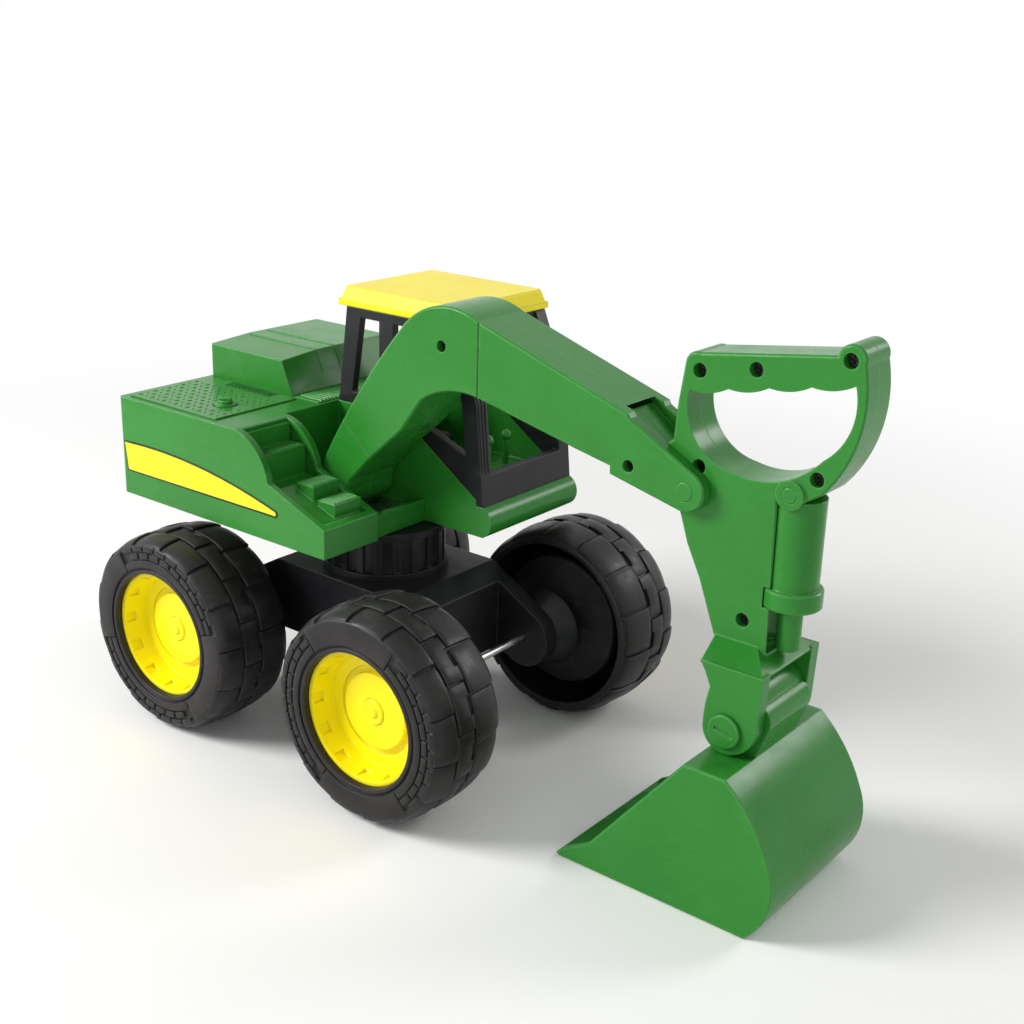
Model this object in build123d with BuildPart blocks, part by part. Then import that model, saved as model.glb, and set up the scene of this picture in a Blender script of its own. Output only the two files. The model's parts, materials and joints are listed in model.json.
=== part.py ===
from build123d import *
from math import atan2, cos, degrees, radians, sin
import os

os.makedirs("parts", exist_ok=True)

# Toy wheeled digger. Millimetres. +X is forward along the boom, +Y is left, +Z is up.
# The origin is on the floor, under the axis on which the house turns.

# Fits
gap = 0.3            # between pieces that move past each other
seat_gap = 0.1       # between pieces that are fixed together
pin_clearance = 0.06  # radial, round every pin and axle that turns

# Wheels and axles
tyre_radius = 50.0
tyre_width = 43.0
tyre_outer_face = 91.8
tyre_shoulder_drop = 3.7
tyre_shoulder_width = 5.5
tyre_wall = 3.5
tread_wall = 5.5
rim_radius = 31.3
rim_recess = 3.4
rim_lip = 1.8
rim_taper = 3.0
rim_notch_count = 12
rim_notch = (2.6, 5.0)
rim_notch_depth = 6.0
rim_notch_inset = 1.6
dish_depth = 11.0
hub_wall = 2.4
hub_disc_radius = 18.0
hub_groove_width = 3.0
hub_boss_radius = 7.5
hub_root = 2.0
hub_groove_depth = 1.2
drum_wall = 2.4
drum_end = 9.0
hub_flare_radius = hub_boss_radius + 6.0
flare_y = drum_end - 5.0
axle_radius = 1.75
push_nut_radius = 4.0
push_nut_thickness = 1.6
cap_radius = 6.2
cap_height = 3.2
wheelbase = 134.0

# Chassis
chassis_half_width = 36.0
chassis_top = 32.0        # above the axles
chassis_bottom = 4.0      # below the axles
chassis_wall = 3.0
chassis_flat_half = 40.0
arm_boss_radius = 15.0
fork_half_gap = 27.0
fork_depth = 22.0
pocket_margin = 12.0
trumpet_start = 30.0
trumpet_to_tyre = 2.4
trumpet_small = 12.0
trumpet_large = 20.0
belly_pan_thickness = 3.6
pan_head_sink = 0.2           # how far the screw heads lie below the pan's face
turret_radius = 28.0
turret_rib_count = 20
turret_rib_depth = 1.6
turret_rib_width = 3.4
turret_flange = 3.5
turret_wall = 4.0
swivel_radius = 6.0
swivel_head_radius = 11.0
swivel_head_height = 3.0
swivel_collar_radius = 8.5
swivel_collar_height = 2.5
swivel_hub_wall = 5.0
swivel_hub_height = 20.0
pan_screw_inset_x = 7.0
pan_screw_inset_y = 10.0

# House
house_over_tyre = 6.5
house_rear = -120.0
house_right = -66.0
house_left = 74.0
house_height = 50.0
house_wall = 2.5
base_thickness = 3.0
slot_rear = -37.0
slot_clearance = 2.0      # between the boom and each wall of its slot
block_front = 24.0
block_front_height = 14.0
slope_back = -12.5
slope_back_height = 28.0
shoulder_x = -34.0
cab_front = 58.0
cab_sill_height = 15.0
cab_sill_back = 6.0
cab_wall = 3.0
bumper_depth = 5.0
steps_rim = 3.5
steps_thickness = 2.4
hood_front = -58.0
hood_right = -7.0
hood_left = 70.0
hood_height = 19.0
hood_front_slope = 7.0
hood_wall = 2.5
filler_x = -68.0
filler_y = -42.0
filler_radius = 5.5

# Cab
post_foot_front = 58.0
post_brow_front = 52.8
post_brow_height = 14.0      # above the deck, where the front posts lean back more
post_head_front = 38.0
post_foot_rear = -36.5
post_head_rear = -30.5
cab_height = 48.5         # above the deck
frame_thickness = 4.0
post_width = 9.0
rail_height = 4.5
front_panel_height = 14.5
roof_lip = 2.6
roof_height = 9.0
roof_overhang = 1.5
roof_front_overhang = 3.0
roof_inset = 3.0
window_sill = 6.0          # above the deck
mullion_back = -9.0
mullion_front = 0.0
seat_width = 24.0
seat_depth = 26.0
seat_height = 12.0
seat_back_height = 46.0
seat_back_thickness = 7.0
seat_x = -14.0
console_x = 38.0
console_width = 26.0
console_depth = 12.0
console_height = 5.0
lever_height = 20.0
lever_spacing = 14.0

# Boom, arm and bucket
boom_y = -13.0
boom_half = 16.0
boom_wall = 2.4
boom_root = (-8.0, 18.0)      # x, and height above the house's underside
boom_tip = (187.0, 61.5)
root_eye_radius = 10.0
tip_eye_radius = 8.6
fork_clear_radius = 21.5
fork_clearance = 0.4      # between the arm and each cheek of the fork
fork_relief_angle = 144.0  # how far back the fork is open for the arm's shoulder, from +X
fork_relief_reach = 44.0
arm_half = 10.0
arm_wall = 2.4
arm_lug_gap = 0.6
arm_boss_height = 1.2
bucket_pivot_x = 218.0
bucket_pivot_z = 77.0
ear_half = 23.5
ear_thickness = 6.3
ear_eye_radius = 10.3
crown_height = 7.0
crown_foot = 26.0             # above the bucket pivot
boom_pin_radius = 4.0
bucket_pin_radius = 4.0
pin_head_radius = 7.2
pin_head_height = 1.8
barrel_radius = 10.0
barrel_length = 37.0
collar_radius = 12.0
collar_length = 8.0
rod_radius = 5.0
cylinder_x = 229.9
cylinder_pin_radius = 3.2
cylinder_boss_radius = 6.0
bucket_half = 40.5
bucket_wall = 2.4
bucket_height = 66.0
knuckle_clearance = 0.5
knuckle_radius = 20.0

# Screws
screw_clearance = 0.05
screw_head_radius = 2.5
screw_head_height = 1.6
screw_shank_radius = 1.25
screw_recess_radius = 3.0
screw_recess_depth = 5.0
screw_post_radius = 4.6
screw_grip = 7.0

# Places worked out from the sizes above
axle_z = tyre_radius
axle_x = wheelbase / 2
tyre_inner_face = tyre_outer_face - tyre_width
trumpet_end = tyre_inner_face - trumpet_to_tyre
chassis_top_z = axle_z + chassis_top
chassis_bottom_z = axle_z - chassis_bottom
house_bottom = 2 * tyre_radius + house_over_tyre
deck = house_bottom + house_height
root = (boom_root[0], house_bottom + boom_root[1])
tip = (boom_tip[0], house_bottom + boom_tip[1])
bucket_pivot = (bucket_pivot_x, bucket_pivot_z)
cab_top = deck + cab_height
sill = house_bottom + cab_sill_height
cab_floor = sill + 3.0
slot_right = boom_y - boom_half - slot_clearance
slot_left = boom_y + boom_half + slot_clearance
ear_inner = ear_half - ear_thickness
knuckle_half = ear_inner - knuckle_clearance
fork_half = arm_half + fork_clearance
hub_foot = chassis_top_z - swivel_hub_height
pocket_x = axle_x - fork_depth - pocket_margin
pan_screw_grid = (2 * (pocket_x - pan_screw_inset_x), 2 * (chassis_half_width - pan_screw_inset_y), 2, 2)
brow_z = deck + post_brow_height
front_lean = (post_foot_front - post_brow_front) / (brow_z - sill)
brow_lean = (post_brow_front - post_head_front) / (cab_top - brow_z)


def side_plane(y):
    # Drawn with x forward and z up; a positive extrusion runs to the right, towards -Y.
    return Plane.XZ.offset(-y)


def near(point, dx, dz):
    return (point[0] + dx, point[1] + dz)


def along(a, b, share):
    return (a[0] + (b[0] - a[0]) * share, a[1] + (b[1] - a[1]) * share)


def around_tip(radius, angle):
    return near(tip, radius * cos(radians(angle)), radius * sin(radians(angle)))


def front_x(z):
    # The cab's front face, which leans back more above its brow.
    return post_foot_front - front_lean * (min(z, brow_z) - sill) - brow_lean * max(z - brow_z, 0)


def finish(builder, label):
    builder.part.label = label
    export_step(builder.part, f"parts/{label}.step")


# ---------------------------------------------------------------- wheels

def wheel_section(points):
    # A section through the wheel, as (radius, distance outwards from the tyre's inner face).
    with BuildSketch(Plane.XY) as section:
        with BuildLine():
            Polyline(*points, close=True)
        make_face()
    return section.sketch


def place_wheel(part, x, side):
    # The wheel is drawn with its outer face towards +Y; the right-hand one is turned round.
    turn = 0 if side > 0 else 180
    return Pos(x, side * tyre_inner_face, axle_z) * Rot(0, 0, turn) * part


rim_y = tyre_width - rim_recess
dish_y = rim_y - dish_depth
drum_outer = rim_radius + seat_gap + drum_wall

with BuildPart() as tyre_shape:
    revolve(wheel_section([
        (rim_radius + seat_gap, tyre_width),
        (tyre_radius - tyre_shoulder_drop, tyre_width),
        (tyre_radius - 1.0, tyre_width - tyre_shoulder_width),
        (tyre_radius, tyre_width - 3 * tyre_shoulder_width),
        (tyre_radius, 3 * tyre_shoulder_width),
        (tyre_radius - 1.0, tyre_shoulder_width),
        (tyre_radius - tyre_shoulder_drop, 0),
        (tyre_radius - tread_wall - 2.5, 0),
        (tyre_radius - tread_wall - 2.5, 2.0),
        (tyre_radius - tread_wall, 4.5),
        (tyre_radius - tread_wall, tyre_width - tyre_wall),
        (drum_outer, tyre_width - tyre_wall),
        (drum_outer, drum_end),
        (hub_flare_radius, flare_y),
        (hub_boss_radius, flare_y),
        (hub_boss_radius, trumpet_end - tyre_inner_face + gap),
        (axle_radius + pin_clearance, trumpet_end - tyre_inner_face + gap),
        (axle_radius + pin_clearance, flare_y + drum_wall),
        (hub_flare_radius, flare_y + drum_wall),
        (rim_radius + seat_gap, drum_end + drum_wall),
    ]), axis=Axis.Y)

with BuildPart() as hub_shape:
    revolve(wheel_section([
        (rim_radius, rim_y),
        (rim_radius - rim_lip, rim_y),
        (rim_radius - rim_lip - rim_taper, dish_y),
        (hub_disc_radius + hub_groove_width, dish_y),
        (hub_disc_radius + hub_groove_width, dish_y - hub_groove_depth),
        (hub_disc_radius, dish_y - hub_groove_depth),
        (hub_disc_radius, dish_y + 1.4),
        (cap_radius + seat_gap, dish_y + 2.0),
        (cap_radius + seat_gap, dish_y - cap_height),
        (axle_radius + pin_clearance, dish_y - cap_height),
        (axle_radius + pin_clearance, flare_y + drum_wall + seat_gap),
        (hub_boss_radius, flare_y + drum_wall + seat_gap),
        (hub_boss_radius, dish_y - cap_height - hub_wall),
        (hub_boss_radius + hub_root, dish_y - hub_wall - hub_groove_depth),
        (rim_radius - rim_lip - rim_taper, dish_y - hub_wall - hub_groove_depth),
        (rim_radius, rim_y - dish_depth - 1.2),
    ]), axis=Axis.Y)
    # Moulding notches round the inside of the rim
    with Locations(Plane.XZ.offset(-rim_y)):
        with PolarLocations(rim_radius - rim_lip - rim_notch_inset, rim_notch_count):
            Box(*rim_notch, 2 * rim_notch_depth, mode=Mode.SUBTRACT)

with BuildPart() as cap_shape:
    revolve(wheel_section([
        (0, dish_y + 3.4),
        (2.2, dish_y + 3.4),
        (3.0, dish_y + 2.4),
        (cap_radius - 0.6, dish_y + 2.8),
        (cap_radius, dish_y + 2.2),
        (cap_radius, dish_y - cap_height + seat_gap),
        (push_nut_radius + gap, dish_y - cap_height + seat_gap),
        (push_nut_radius + gap, dish_y - 0.2),
        (0, dish_y - 0.2),
    ]), axis=Axis.Y)

with BuildPart() as push_nut_shape:
    revolve(wheel_section([
        (0, dish_y - 0.6),
        (axle_radius + 1.0, dish_y - 0.6),
        (axle_radius + 1.4, dish_y - cap_height + gap + push_nut_thickness * 0.6),
        (push_nut_radius, dish_y - cap_height + gap + push_nut_thickness * 0.4),
        (push_nut_radius, dish_y - cap_height + gap),
        (axle_radius + seat_gap / 2, dish_y - cap_height + gap),
        (axle_radius + seat_gap / 2, dish_y - 1.4),
        (0, dish_y - 1.4),
    ]), axis=Axis.Y)

wheel_shapes = {
    "tyre": tyre_shape.part,
    "hub": hub_shape.part,
    "hub_cap": cap_shape.part,
    "push_nut": push_nut_shape.part,
}
for end, x in (("front", axle_x), ("rear", -axle_x)):
    for side_name, side in (("left", 1), ("right", -1)):
        for piece, shape in wheel_shapes.items():
            label = f"{piece}_{end}_{side_name}"
            placed = place_wheel(shape, x, side)
            placed.label = label
            export_step(placed, f"parts/{label}.step")

axle_half_length = tyre_inner_face + dish_y - 1.4 - seat_gap
for end, x in (("front", axle_x), ("rear", -axle_x)):
    with BuildPart() as axle:
        with Locations((x, 0, axle_z)):
            Cylinder(axle_radius, 2 * axle_half_length, rotation=(90, 0, 0))
        chamfer(axle.edges().filter_by(GeomType.CIRCLE), 0.4)
    finish(axle, f"axle_{end}")

# ---------------------------------------------------------------- chassis

turret_top = house_bottom - 2 * gap

with BuildPart() as chassis_frame:
    for way in (1, -1):
        with BuildSketch(side_plane(chassis_half_width)):
            with BuildLine():
                Polyline(
                    (0, chassis_bottom_z),
                    (way * (axle_x - 30), chassis_bottom_z),
                    (way * (axle_x - 4), axle_z - arm_boss_radius + 1),
                    (way * (axle_x + 9), axle_z + arm_boss_radius - 3),
                    (way * chassis_flat_half, chassis_top_z),
                    (0, chassis_top_z),
                    close=True,
                )
            make_face()
            with Locations((way * axle_x, axle_z)):
                Circle(arm_boss_radius)
        extrude(amount=2 * chassis_half_width)
    # Open forks at both ends leave the axles bare between the arms
    with Locations((axle_x + arm_boss_radius, 0, axle_z), (-axle_x - arm_boss_radius, 0, axle_z)):
        Box(2 * (arm_boss_radius + fork_depth - 6), 2 * fork_half_gap, 4 * arm_boss_radius,
            mode=Mode.SUBTRACT)
    # Trumpets between the arms and the wheels
    for x in (axle_x, -axle_x):
        for side in (1, -1):
            with BuildSketch(Plane.XZ.offset(-side * trumpet_start)):
                with Locations((x, axle_z)):
                    Circle(trumpet_small)
            with BuildSketch(Plane.XZ.offset(-side * trumpet_end)):
                with Locations((x, axle_z)):
                    Circle(trumpet_large)
            loft()
    # Underside pocket, closed by the belly pan
    with Locations((0, 0, (chassis_bottom_z + chassis_top_z) / 2 - chassis_wall)):
        Box(2 * pocket_x, 2 * (chassis_half_width - chassis_wall), chassis_top_z - chassis_bottom_z,
            mode=Mode.SUBTRACT)
    # Four posts for the belly pan's screws, and the hub that the swivel bolt turns in
    with Locations((0, 0, chassis_top_z)):
        with GridLocations(*pan_screw_grid):
            Cylinder(screw_post_radius, chassis_top_z - chassis_bottom_z - belly_pan_thickness - seat_gap,
                     align=(Align.CENTER, Align.CENTER, Align.MAX))
        Cylinder(swivel_radius + swivel_hub_wall, swivel_hub_height,
                 align=(Align.CENTER, Align.CENTER, Align.MAX))
    with Locations((0, 0, chassis_bottom_z)):
        with GridLocations(*pan_screw_grid):
            Cylinder(screw_shank_radius + screw_clearance, 2 * (screw_grip + belly_pan_thickness) + 1,
                     mode=Mode.SUBTRACT)
    with Locations((0, 0, chassis_top_z)):
        Cylinder(swivel_radius + pin_clearance, 60, mode=Mode.SUBTRACT)
    for x in (axle_x, -axle_x):
        with Locations((x, 0, axle_z)):
            Cylinder(axle_radius + pin_clearance, 200, rotation=(90, 0, 0), mode=Mode.SUBTRACT)
finish(chassis_frame, "chassis_frame")

with BuildPart() as belly_pan:
    with Locations((0, 0, chassis_bottom_z)):
        Box(2 * (pocket_x - seat_gap), 2 * (chassis_half_width - chassis_wall - seat_gap),
            belly_pan_thickness, align=(Align.CENTER, Align.CENTER, Align.MIN))
        with GridLocations(*pan_screw_grid):
            Cylinder(screw_shank_radius + screw_clearance, 4 * belly_pan_thickness, mode=Mode.SUBTRACT)
            Cylinder(screw_head_radius + seat_gap, 2 * (pan_head_sink + screw_head_height + seat_gap),
                     mode=Mode.SUBTRACT)
    fillet(belly_pan.edges().filter_by(Axis.Z), 1.0)
finish(belly_pan, "belly_pan")

with BuildPart() as turret:
    with BuildSketch(Plane.XY.offset(chassis_top_z)):
        Circle(turret_radius)
        with PolarLocations(turret_radius, turret_rib_count):
            Rectangle(2 * turret_rib_depth, turret_rib_width)
        Circle(swivel_radius + pin_clearance, mode=Mode.SUBTRACT)
    extrude(amount=turret_top - chassis_top_z)
    # Foot and head flanges
    with BuildSketch(Plane.XY.offset(chassis_top_z), Plane.XY.offset(turret_top - turret_flange)):
        Circle(turret_radius + 2 * turret_rib_depth)
        Circle(swivel_radius + pin_clearance, mode=Mode.SUBTRACT)
    extrude(amount=turret_flange)
    # Hollow under the head, round the swivel's tube
    with BuildSketch(Plane.XY.offset(chassis_top_z)):
        Circle(turret_radius - turret_wall)
        Circle(swivel_radius + swivel_hub_wall, mode=Mode.SUBTRACT)
    extrude(amount=turret_top - chassis_top_z - turret_wall, mode=Mode.SUBTRACT)
finish(turret, "turret")

with BuildPart() as pan_screws:
    with Locations((0, 0, chassis_bottom_z + pan_head_sink)):
        with GridLocations(*pan_screw_grid):
            Cylinder(screw_head_radius, screw_head_height, align=(Align.CENTER, Align.CENTER, Align.MIN))
            Cylinder(screw_shank_radius, belly_pan_thickness - pan_head_sink + screw_grip,
                     align=(Align.CENTER, Align.CENTER, Align.MIN))
finish(pan_screws, "pan_screws")

# ---------------------------------------------------------------- house

base_top = house_bottom + base_thickness
steps_right = house_right + steps_rim
steps_left = slot_right - steps_rim
steps_back = shoulder_x + 1.5
steps_front = block_front - steps_rim


def block_outline(inset):
    # Side view of the house's right-hand block: flat deck, rounded shoulder, long slope.
    slope_top = (slope_back, house_bottom + slope_back_height)
    with BuildSketch(Plane.XZ) as outline:
        with BuildLine():
            Polyline(
                slope_top,
                (block_front, house_bottom + block_front_height),
                (block_front, house_bottom),
                (house_rear, house_bottom),
                (house_rear, deck),
                (shoulder_x, deck),
            )
            ThreePointArc((shoulder_x, deck), near(slope_top, -7.5, deck - slope_top[1] - 7.2), slope_top)
        make_face()
        if inset:
            offset(amount=-inset, mode=Mode.REPLACE)
    return outline.sketch


def cab_side_outline(inset):
    # Side view of the cab's tub: deck behind, sill sloping down to the front, bulged bumper.
    middle = (sill + house_bottom) / 2
    with BuildSketch(Plane.XZ) as outline:
        with BuildLine():
            Polyline(
                (cab_front, house_bottom),
                (slot_rear - house_wall, house_bottom),
                (slot_rear - house_wall, deck),
                (cab_sill_back, deck),
                (cab_front, sill),
            )
            ThreePointArc((cab_front, sill), (cab_front + bumper_depth, middle),
                          (cab_front, house_bottom))
        make_face()
        if inset:
            offset(amount=-inset, mode=Mode.REPLACE)
    return outline.sketch


house_screws = [
    (house_rear + house_wall + 5, house_right + house_wall + 5),
    (house_rear + house_wall + 5, house_left - house_wall - 5),
    (slope_back - 4, house_right + house_wall + 5),
    (cab_front - house_wall - 5, house_left - cab_wall - 5),
]
pin_right = slot_right - house_wall - 0.8
pin_left = slot_left + cab_wall + 1.5

with BuildPart() as house_shell:
    with Locations((house_rear, house_right, house_bottom)):
        Box(slot_rear - house_rear, house_left - house_right, house_height,
            align=(Align.MIN, Align.MIN, Align.MIN))
    extrude(Pos(0, slot_right, 0) * block_outline(0), amount=slot_right - house_right)
    extrude(Pos(0, house_left, 0) * cab_side_outline(0), amount=house_left - slot_left)
    fillet(house_shell.edges().filter_by(Axis.Z).group_by(Axis.X)[0], 2.0)
    # Hollow inside
    with Locations((house_rear + house_wall, house_right + house_wall, house_bottom)):
        Box(slot_rear - house_rear - 2 * house_wall, house_left - house_right - 2 * house_wall,
            house_height - house_wall, align=(Align.MIN, Align.MIN, Align.MIN), mode=Mode.SUBTRACT)
    extrude(Pos(0, slot_right - house_wall, 0) * block_outline(house_wall),
            amount=slot_right - house_right - 2 * house_wall, mode=Mode.SUBTRACT)
    with Locations((slot_rear, slot_left + cab_wall, house_bottom)):
        Box(cab_front - house_wall - slot_rear, house_left - slot_left - 2 * cab_wall,
            cab_floor - house_wall - house_bottom, align=(Align.MIN, Align.MIN, Align.MIN),
            mode=Mode.SUBTRACT)
    # The cab's well, open at the top and above the sill in front
    with Locations((slot_rear + house_wall, slot_left + cab_wall, cab_floor)):
        Box(cab_front + bumper_depth - slot_rear, house_left - slot_left - 2 * cab_wall, house_height,
            align=(Align.MIN, Align.MIN, Align.MIN), mode=Mode.SUBTRACT)
    # Ledge that the cab's front panel stands on, and room for the swivel bolt's collar
    with Locations((front_x(cab_floor) - frame_thickness - seat_gap, slot_left, sill)):
        Box(2 * bumper_depth, house_left - slot_left, house_height,
            align=(Align.MIN, Align.MIN, Align.MIN), mode=Mode.SUBTRACT)
    with Locations((0, 0, base_top)):
        Cylinder(swivel_collar_radius + gap, 2 * (swivel_collar_height + gap), mode=Mode.SUBTRACT)
    # Opening that the steps sit in
    with Locations((steps_back, steps_right, house_bottom + 2 * base_thickness)):
        Box(steps_front - steps_back, steps_left - steps_right, house_height,
            align=(Align.MIN, Align.MIN, Align.MIN), mode=Mode.SUBTRACT)
    # Recess for the base plate
    with Locations((house_rear + house_wall, house_right + house_wall, house_bottom)):
        Box(block_front - house_rear - 2 * house_wall, house_left - house_right - 2 * house_wall,
            base_thickness + seat_gap, align=(Align.MIN, Align.MIN, Align.MIN), mode=Mode.SUBTRACT)
    # Screw posts
    for x, y in house_screws:
        with Locations((x, y, base_top + seat_gap)):
            Cylinder(screw_post_radius + 0.8, screw_grip + 3,
                     align=(Align.CENTER, Align.CENTER, Align.MIN))
            Cylinder(screw_shank_radius + screw_clearance, 2 * screw_grip, mode=Mode.SUBTRACT)
    # Bores for the pin at the boom's root
    with Locations((root[0], (pin_right + pin_left) / 2, root[1])):
        Cylinder(boom_pin_radius + seat_gap / 2, pin_left - pin_right + 1, rotation=(90, 0, 0),
                 mode=Mode.SUBTRACT)
finish(house_shell, "house_shell")

with BuildPart() as house_base:
    inner_right = house_right + house_wall + seat_gap
    inner_left = house_left - house_wall - seat_gap
    inner_rear = house_rear + house_wall + seat_gap
    inner_front = block_front - house_wall - seat_gap
    with Locations((inner_rear, inner_right, house_bottom)):
        Box(inner_front - inner_rear, inner_left - inner_right, base_thickness,
            align=(Align.MIN, Align.MIN, Align.MIN))
    with Locations((inner_front - 1, slot_left + cab_wall + seat_gap, house_bottom)):
        Box(cab_front - house_wall - seat_gap - inner_front + 1,
            house_left - slot_left - 2 * (cab_wall + seat_gap),
            base_thickness, align=(Align.MIN, Align.MIN, Align.MIN))
    # Low skirt across the front of the boom's slot
    with Locations((inner_front, slot_right + seat_gap, house_bottom)):
        Box(base_thickness, slot_left - slot_right - 2 * seat_gap, block_front_height - 3,
            align=(Align.MAX, Align.MIN, Align.MIN))
    with Locations((0, 0, house_bottom)):
        Cylinder(swivel_radius + seat_gap / 2, 3 * base_thickness, mode=Mode.SUBTRACT)
    for x, y in house_screws:
        with Locations((x, y, house_bottom)):
            Cylinder(screw_shank_radius + screw_clearance, 3 * base_thickness, mode=Mode.SUBTRACT)
            Cylinder(screw_head_radius + 0.3, 2 * (screw_head_height + 0.1), mode=Mode.SUBTRACT)
finish(house_base, "house_base")

with BuildPart() as house_screw_set:
    for x, y in house_screws:
        with Locations((x, y, house_bottom + 0.05)):
            Cylinder(screw_head_radius, screw_head_height, align=(Align.CENTER, Align.CENTER, Align.MIN))
            Cylinder(screw_shank_radius, base_thickness + screw_grip,
                     align=(Align.CENTER, Align.CENTER, Align.MIN))
finish(house_screw_set, "house_screws")

# The swivel bolt: its head under the chassis hub, its collar on the house base
with BuildPart() as swivel_bolt:
    with Locations((0, 0, hub_foot - gap)):
        Cylinder(swivel_head_radius, swivel_head_height, align=(Align.CENTER, Align.CENTER, Align.MAX))
        Cylinder(swivel_radius, base_top + swivel_collar_height - hub_foot + gap,
                 align=(Align.CENTER, Align.CENTER, Align.MIN))
    with Locations((0, 0, base_top + seat_gap)):
        Cylinder(swivel_collar_radius, swivel_collar_height,
                 align=(Align.CENTER, Align.CENTER, Align.MIN))
    with Locations((0, 0, hub_foot - gap - swivel_head_height)):
        Box(2 * swivel_radius, 1.6, 2.4, mode=Mode.SUBTRACT)
finish(swivel_bolt, "swivel_bolt")

with BuildPart() as boom_root_pin:
    with Locations((root[0], (pin_right + pin_left) / 2, root[1])):
        Cylinder(boom_pin_radius, pin_left - pin_right, rotation=(90, 0, 0))
    chamfer(boom_root_pin.edges().filter_by(GeomType.CIRCLE), 0.5)
finish(boom_root_pin, "boom_root_pin")

# Steps on the slope: a deep tread, a landing, then a slope with two blocks
tread_z = deck - 11.0
landing_z = house_bottom + slope_back_height - 3.5
ramp_foot_z = house_bottom + block_front_height - 1.0
with BuildPart() as side_steps:
    x0 = steps_back + seat_gap
    x1 = steps_front - seat_gap
    with BuildSketch(side_plane(steps_left - seat_gap)):
        with BuildLine():
            top = [(x0, deck - 2.0), (x0 + 2.0, deck - 2.0), (x0 + 2.0, tread_z), (x0 + 12.5, tread_z),
                   (x0 + 12.5, landing_z), (x0 + 21.0, landing_z), (x1, ramp_foot_z)]
            Polyline(*top, (x1, ramp_foot_z - steps_thickness),
                     (x0 + 20.0, landing_z - steps_thickness), (x0 + 10.0, landing_z - steps_thickness),
                     (x0 + 10.0, tread_z - steps_thickness), (x0, tread_z - steps_thickness), close=True)
        make_face()
    extrude(amount=steps_left - steps_right - 2 * seat_gap)
    for back, height in ((x0 + 24.0, 0.0), (x0 + 38.0, -5.5)):
        with Locations((back, steps_left - seat_gap, landing_z + height - 6.0)):
            Box(11.0, 17.0, 8.0, align=(Align.MIN, Align.MAX, Align.MIN))
finish(side_steps, "side_steps")

with BuildPart() as engine_hood:
    with BuildSketch(Plane.YZ.offset(house_rear + 1)):
        with BuildLine():
            Polyline((hood_right, deck), (hood_right, deck + hood_height - 1.8), (20, deck + hood_height),
                     (hood_left, deck + hood_height), (hood_left, deck), close=True)
        make_face()
    extrude(amount=hood_front - house_rear - 1)
    with BuildSketch(side_plane(house_left + 5)):
        with BuildLine():
            Polyline((hood_front, deck), (hood_front + 5, deck + 40), (hood_front - 16, deck + 40),
                     (hood_front - hood_front_slope, deck + hood_height - 2), close=True)
        make_face()
    extrude(amount=house_left - house_right + 10, mode=Mode.SUBTRACT)
    fillet(engine_hood.edges().filter_by(Axis.Z), 1.5)
    with Locations((house_rear + 1 + hood_wall, hood_right + hood_wall, deck)):
        Box(hood_front - hood_front_slope - house_rear - 1 - 2 * hood_wall,
            hood_left - hood_right - 2 * hood_wall, hood_height - 2 * hood_wall,
            align=(Align.MIN, Align.MIN, Align.MIN), mode=Mode.SUBTRACT)
finish(engine_hood, "engine_hood")

# Raised panels on the deck
panel_height = 0.8
with BuildPart() as deck_plate:
    with Locations((house_rear + 4, house_right + 4, deck)):
        Box(shoulder_x - house_rear - 22, hood_right - house_right - 7, panel_height,
            align=(Align.MIN, Align.MIN, Align.MIN))
    with Locations((filler_x, filler_y, deck)):
        Cylinder(filler_radius + 0.5, 4 * panel_height, mode=Mode.SUBTRACT)
finish(deck_plate, "deck_plate")

rib_pitch = 2.4
rib_count = 30
with BuildPart() as deck_grille:
    with Locations((hood_front + 2, hood_right, deck)):
        Box(slot_rear - hood_front - 4, hood_left - hood_right, 0.5,
            align=(Align.MIN, Align.MIN, Align.MIN))
    with Locations(((hood_front + slot_rear) / 2, (hood_left + hood_right) / 2, deck)):
        with GridLocations(1, rib_pitch, 1, rib_count):
            Box(slot_rear - hood_front - 6, 1.1, 1.1, align=(Align.CENTER, Align.CENTER, Align.MIN))
finish(deck_grille, "deck_grille")

with BuildPart() as filler_cap:
    with Locations((filler_x, filler_y, deck)):
        Cylinder(filler_radius, 1.4, align=(Align.CENTER, Align.CENTER, Align.MIN))
        Cylinder(3.6, 3.2, align=(Align.CENTER, Align.CENTER, Align.MIN))
    fillet(filler_cap.edges().filter_by(GeomType.CIRCLE).group_by(Axis.Z)[-1], 0.6)
finish(filler_cap, "filler_cap")

sticker_thickness = 0.3
for side_name, face_y in (("right", house_right), ("left", house_left + sticker_thickness)):
    with BuildPart() as sticker:
        with BuildSketch(side_plane(face_y)):
            with BuildLine():
                Line((house_rear + 4.5, house_bottom + 12.2), (house_rear + 2.5, house_bottom + 27.5))
                ThreePointArc((house_rear + 2.5, house_bottom + 27.5),
                              (house_rear + 66, house_bottom + 25.6),
                              (house_rear + 112, house_bottom + 16.5))
                ThreePointArc((house_rear + 112, house_bottom + 16.5),
                              (house_rear + 113.6, house_bottom + 14),
                              (house_rear + 111, house_bottom + 12.8))
                Line((house_rear + 111, house_bottom + 12.8), (house_rear + 4.5, house_bottom + 12.2))
            make_face()
        extrude(amount=sticker_thickness)
    finish(sticker, f"sticker_{side_name}")

# ---------------------------------------------------------------- cab

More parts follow.
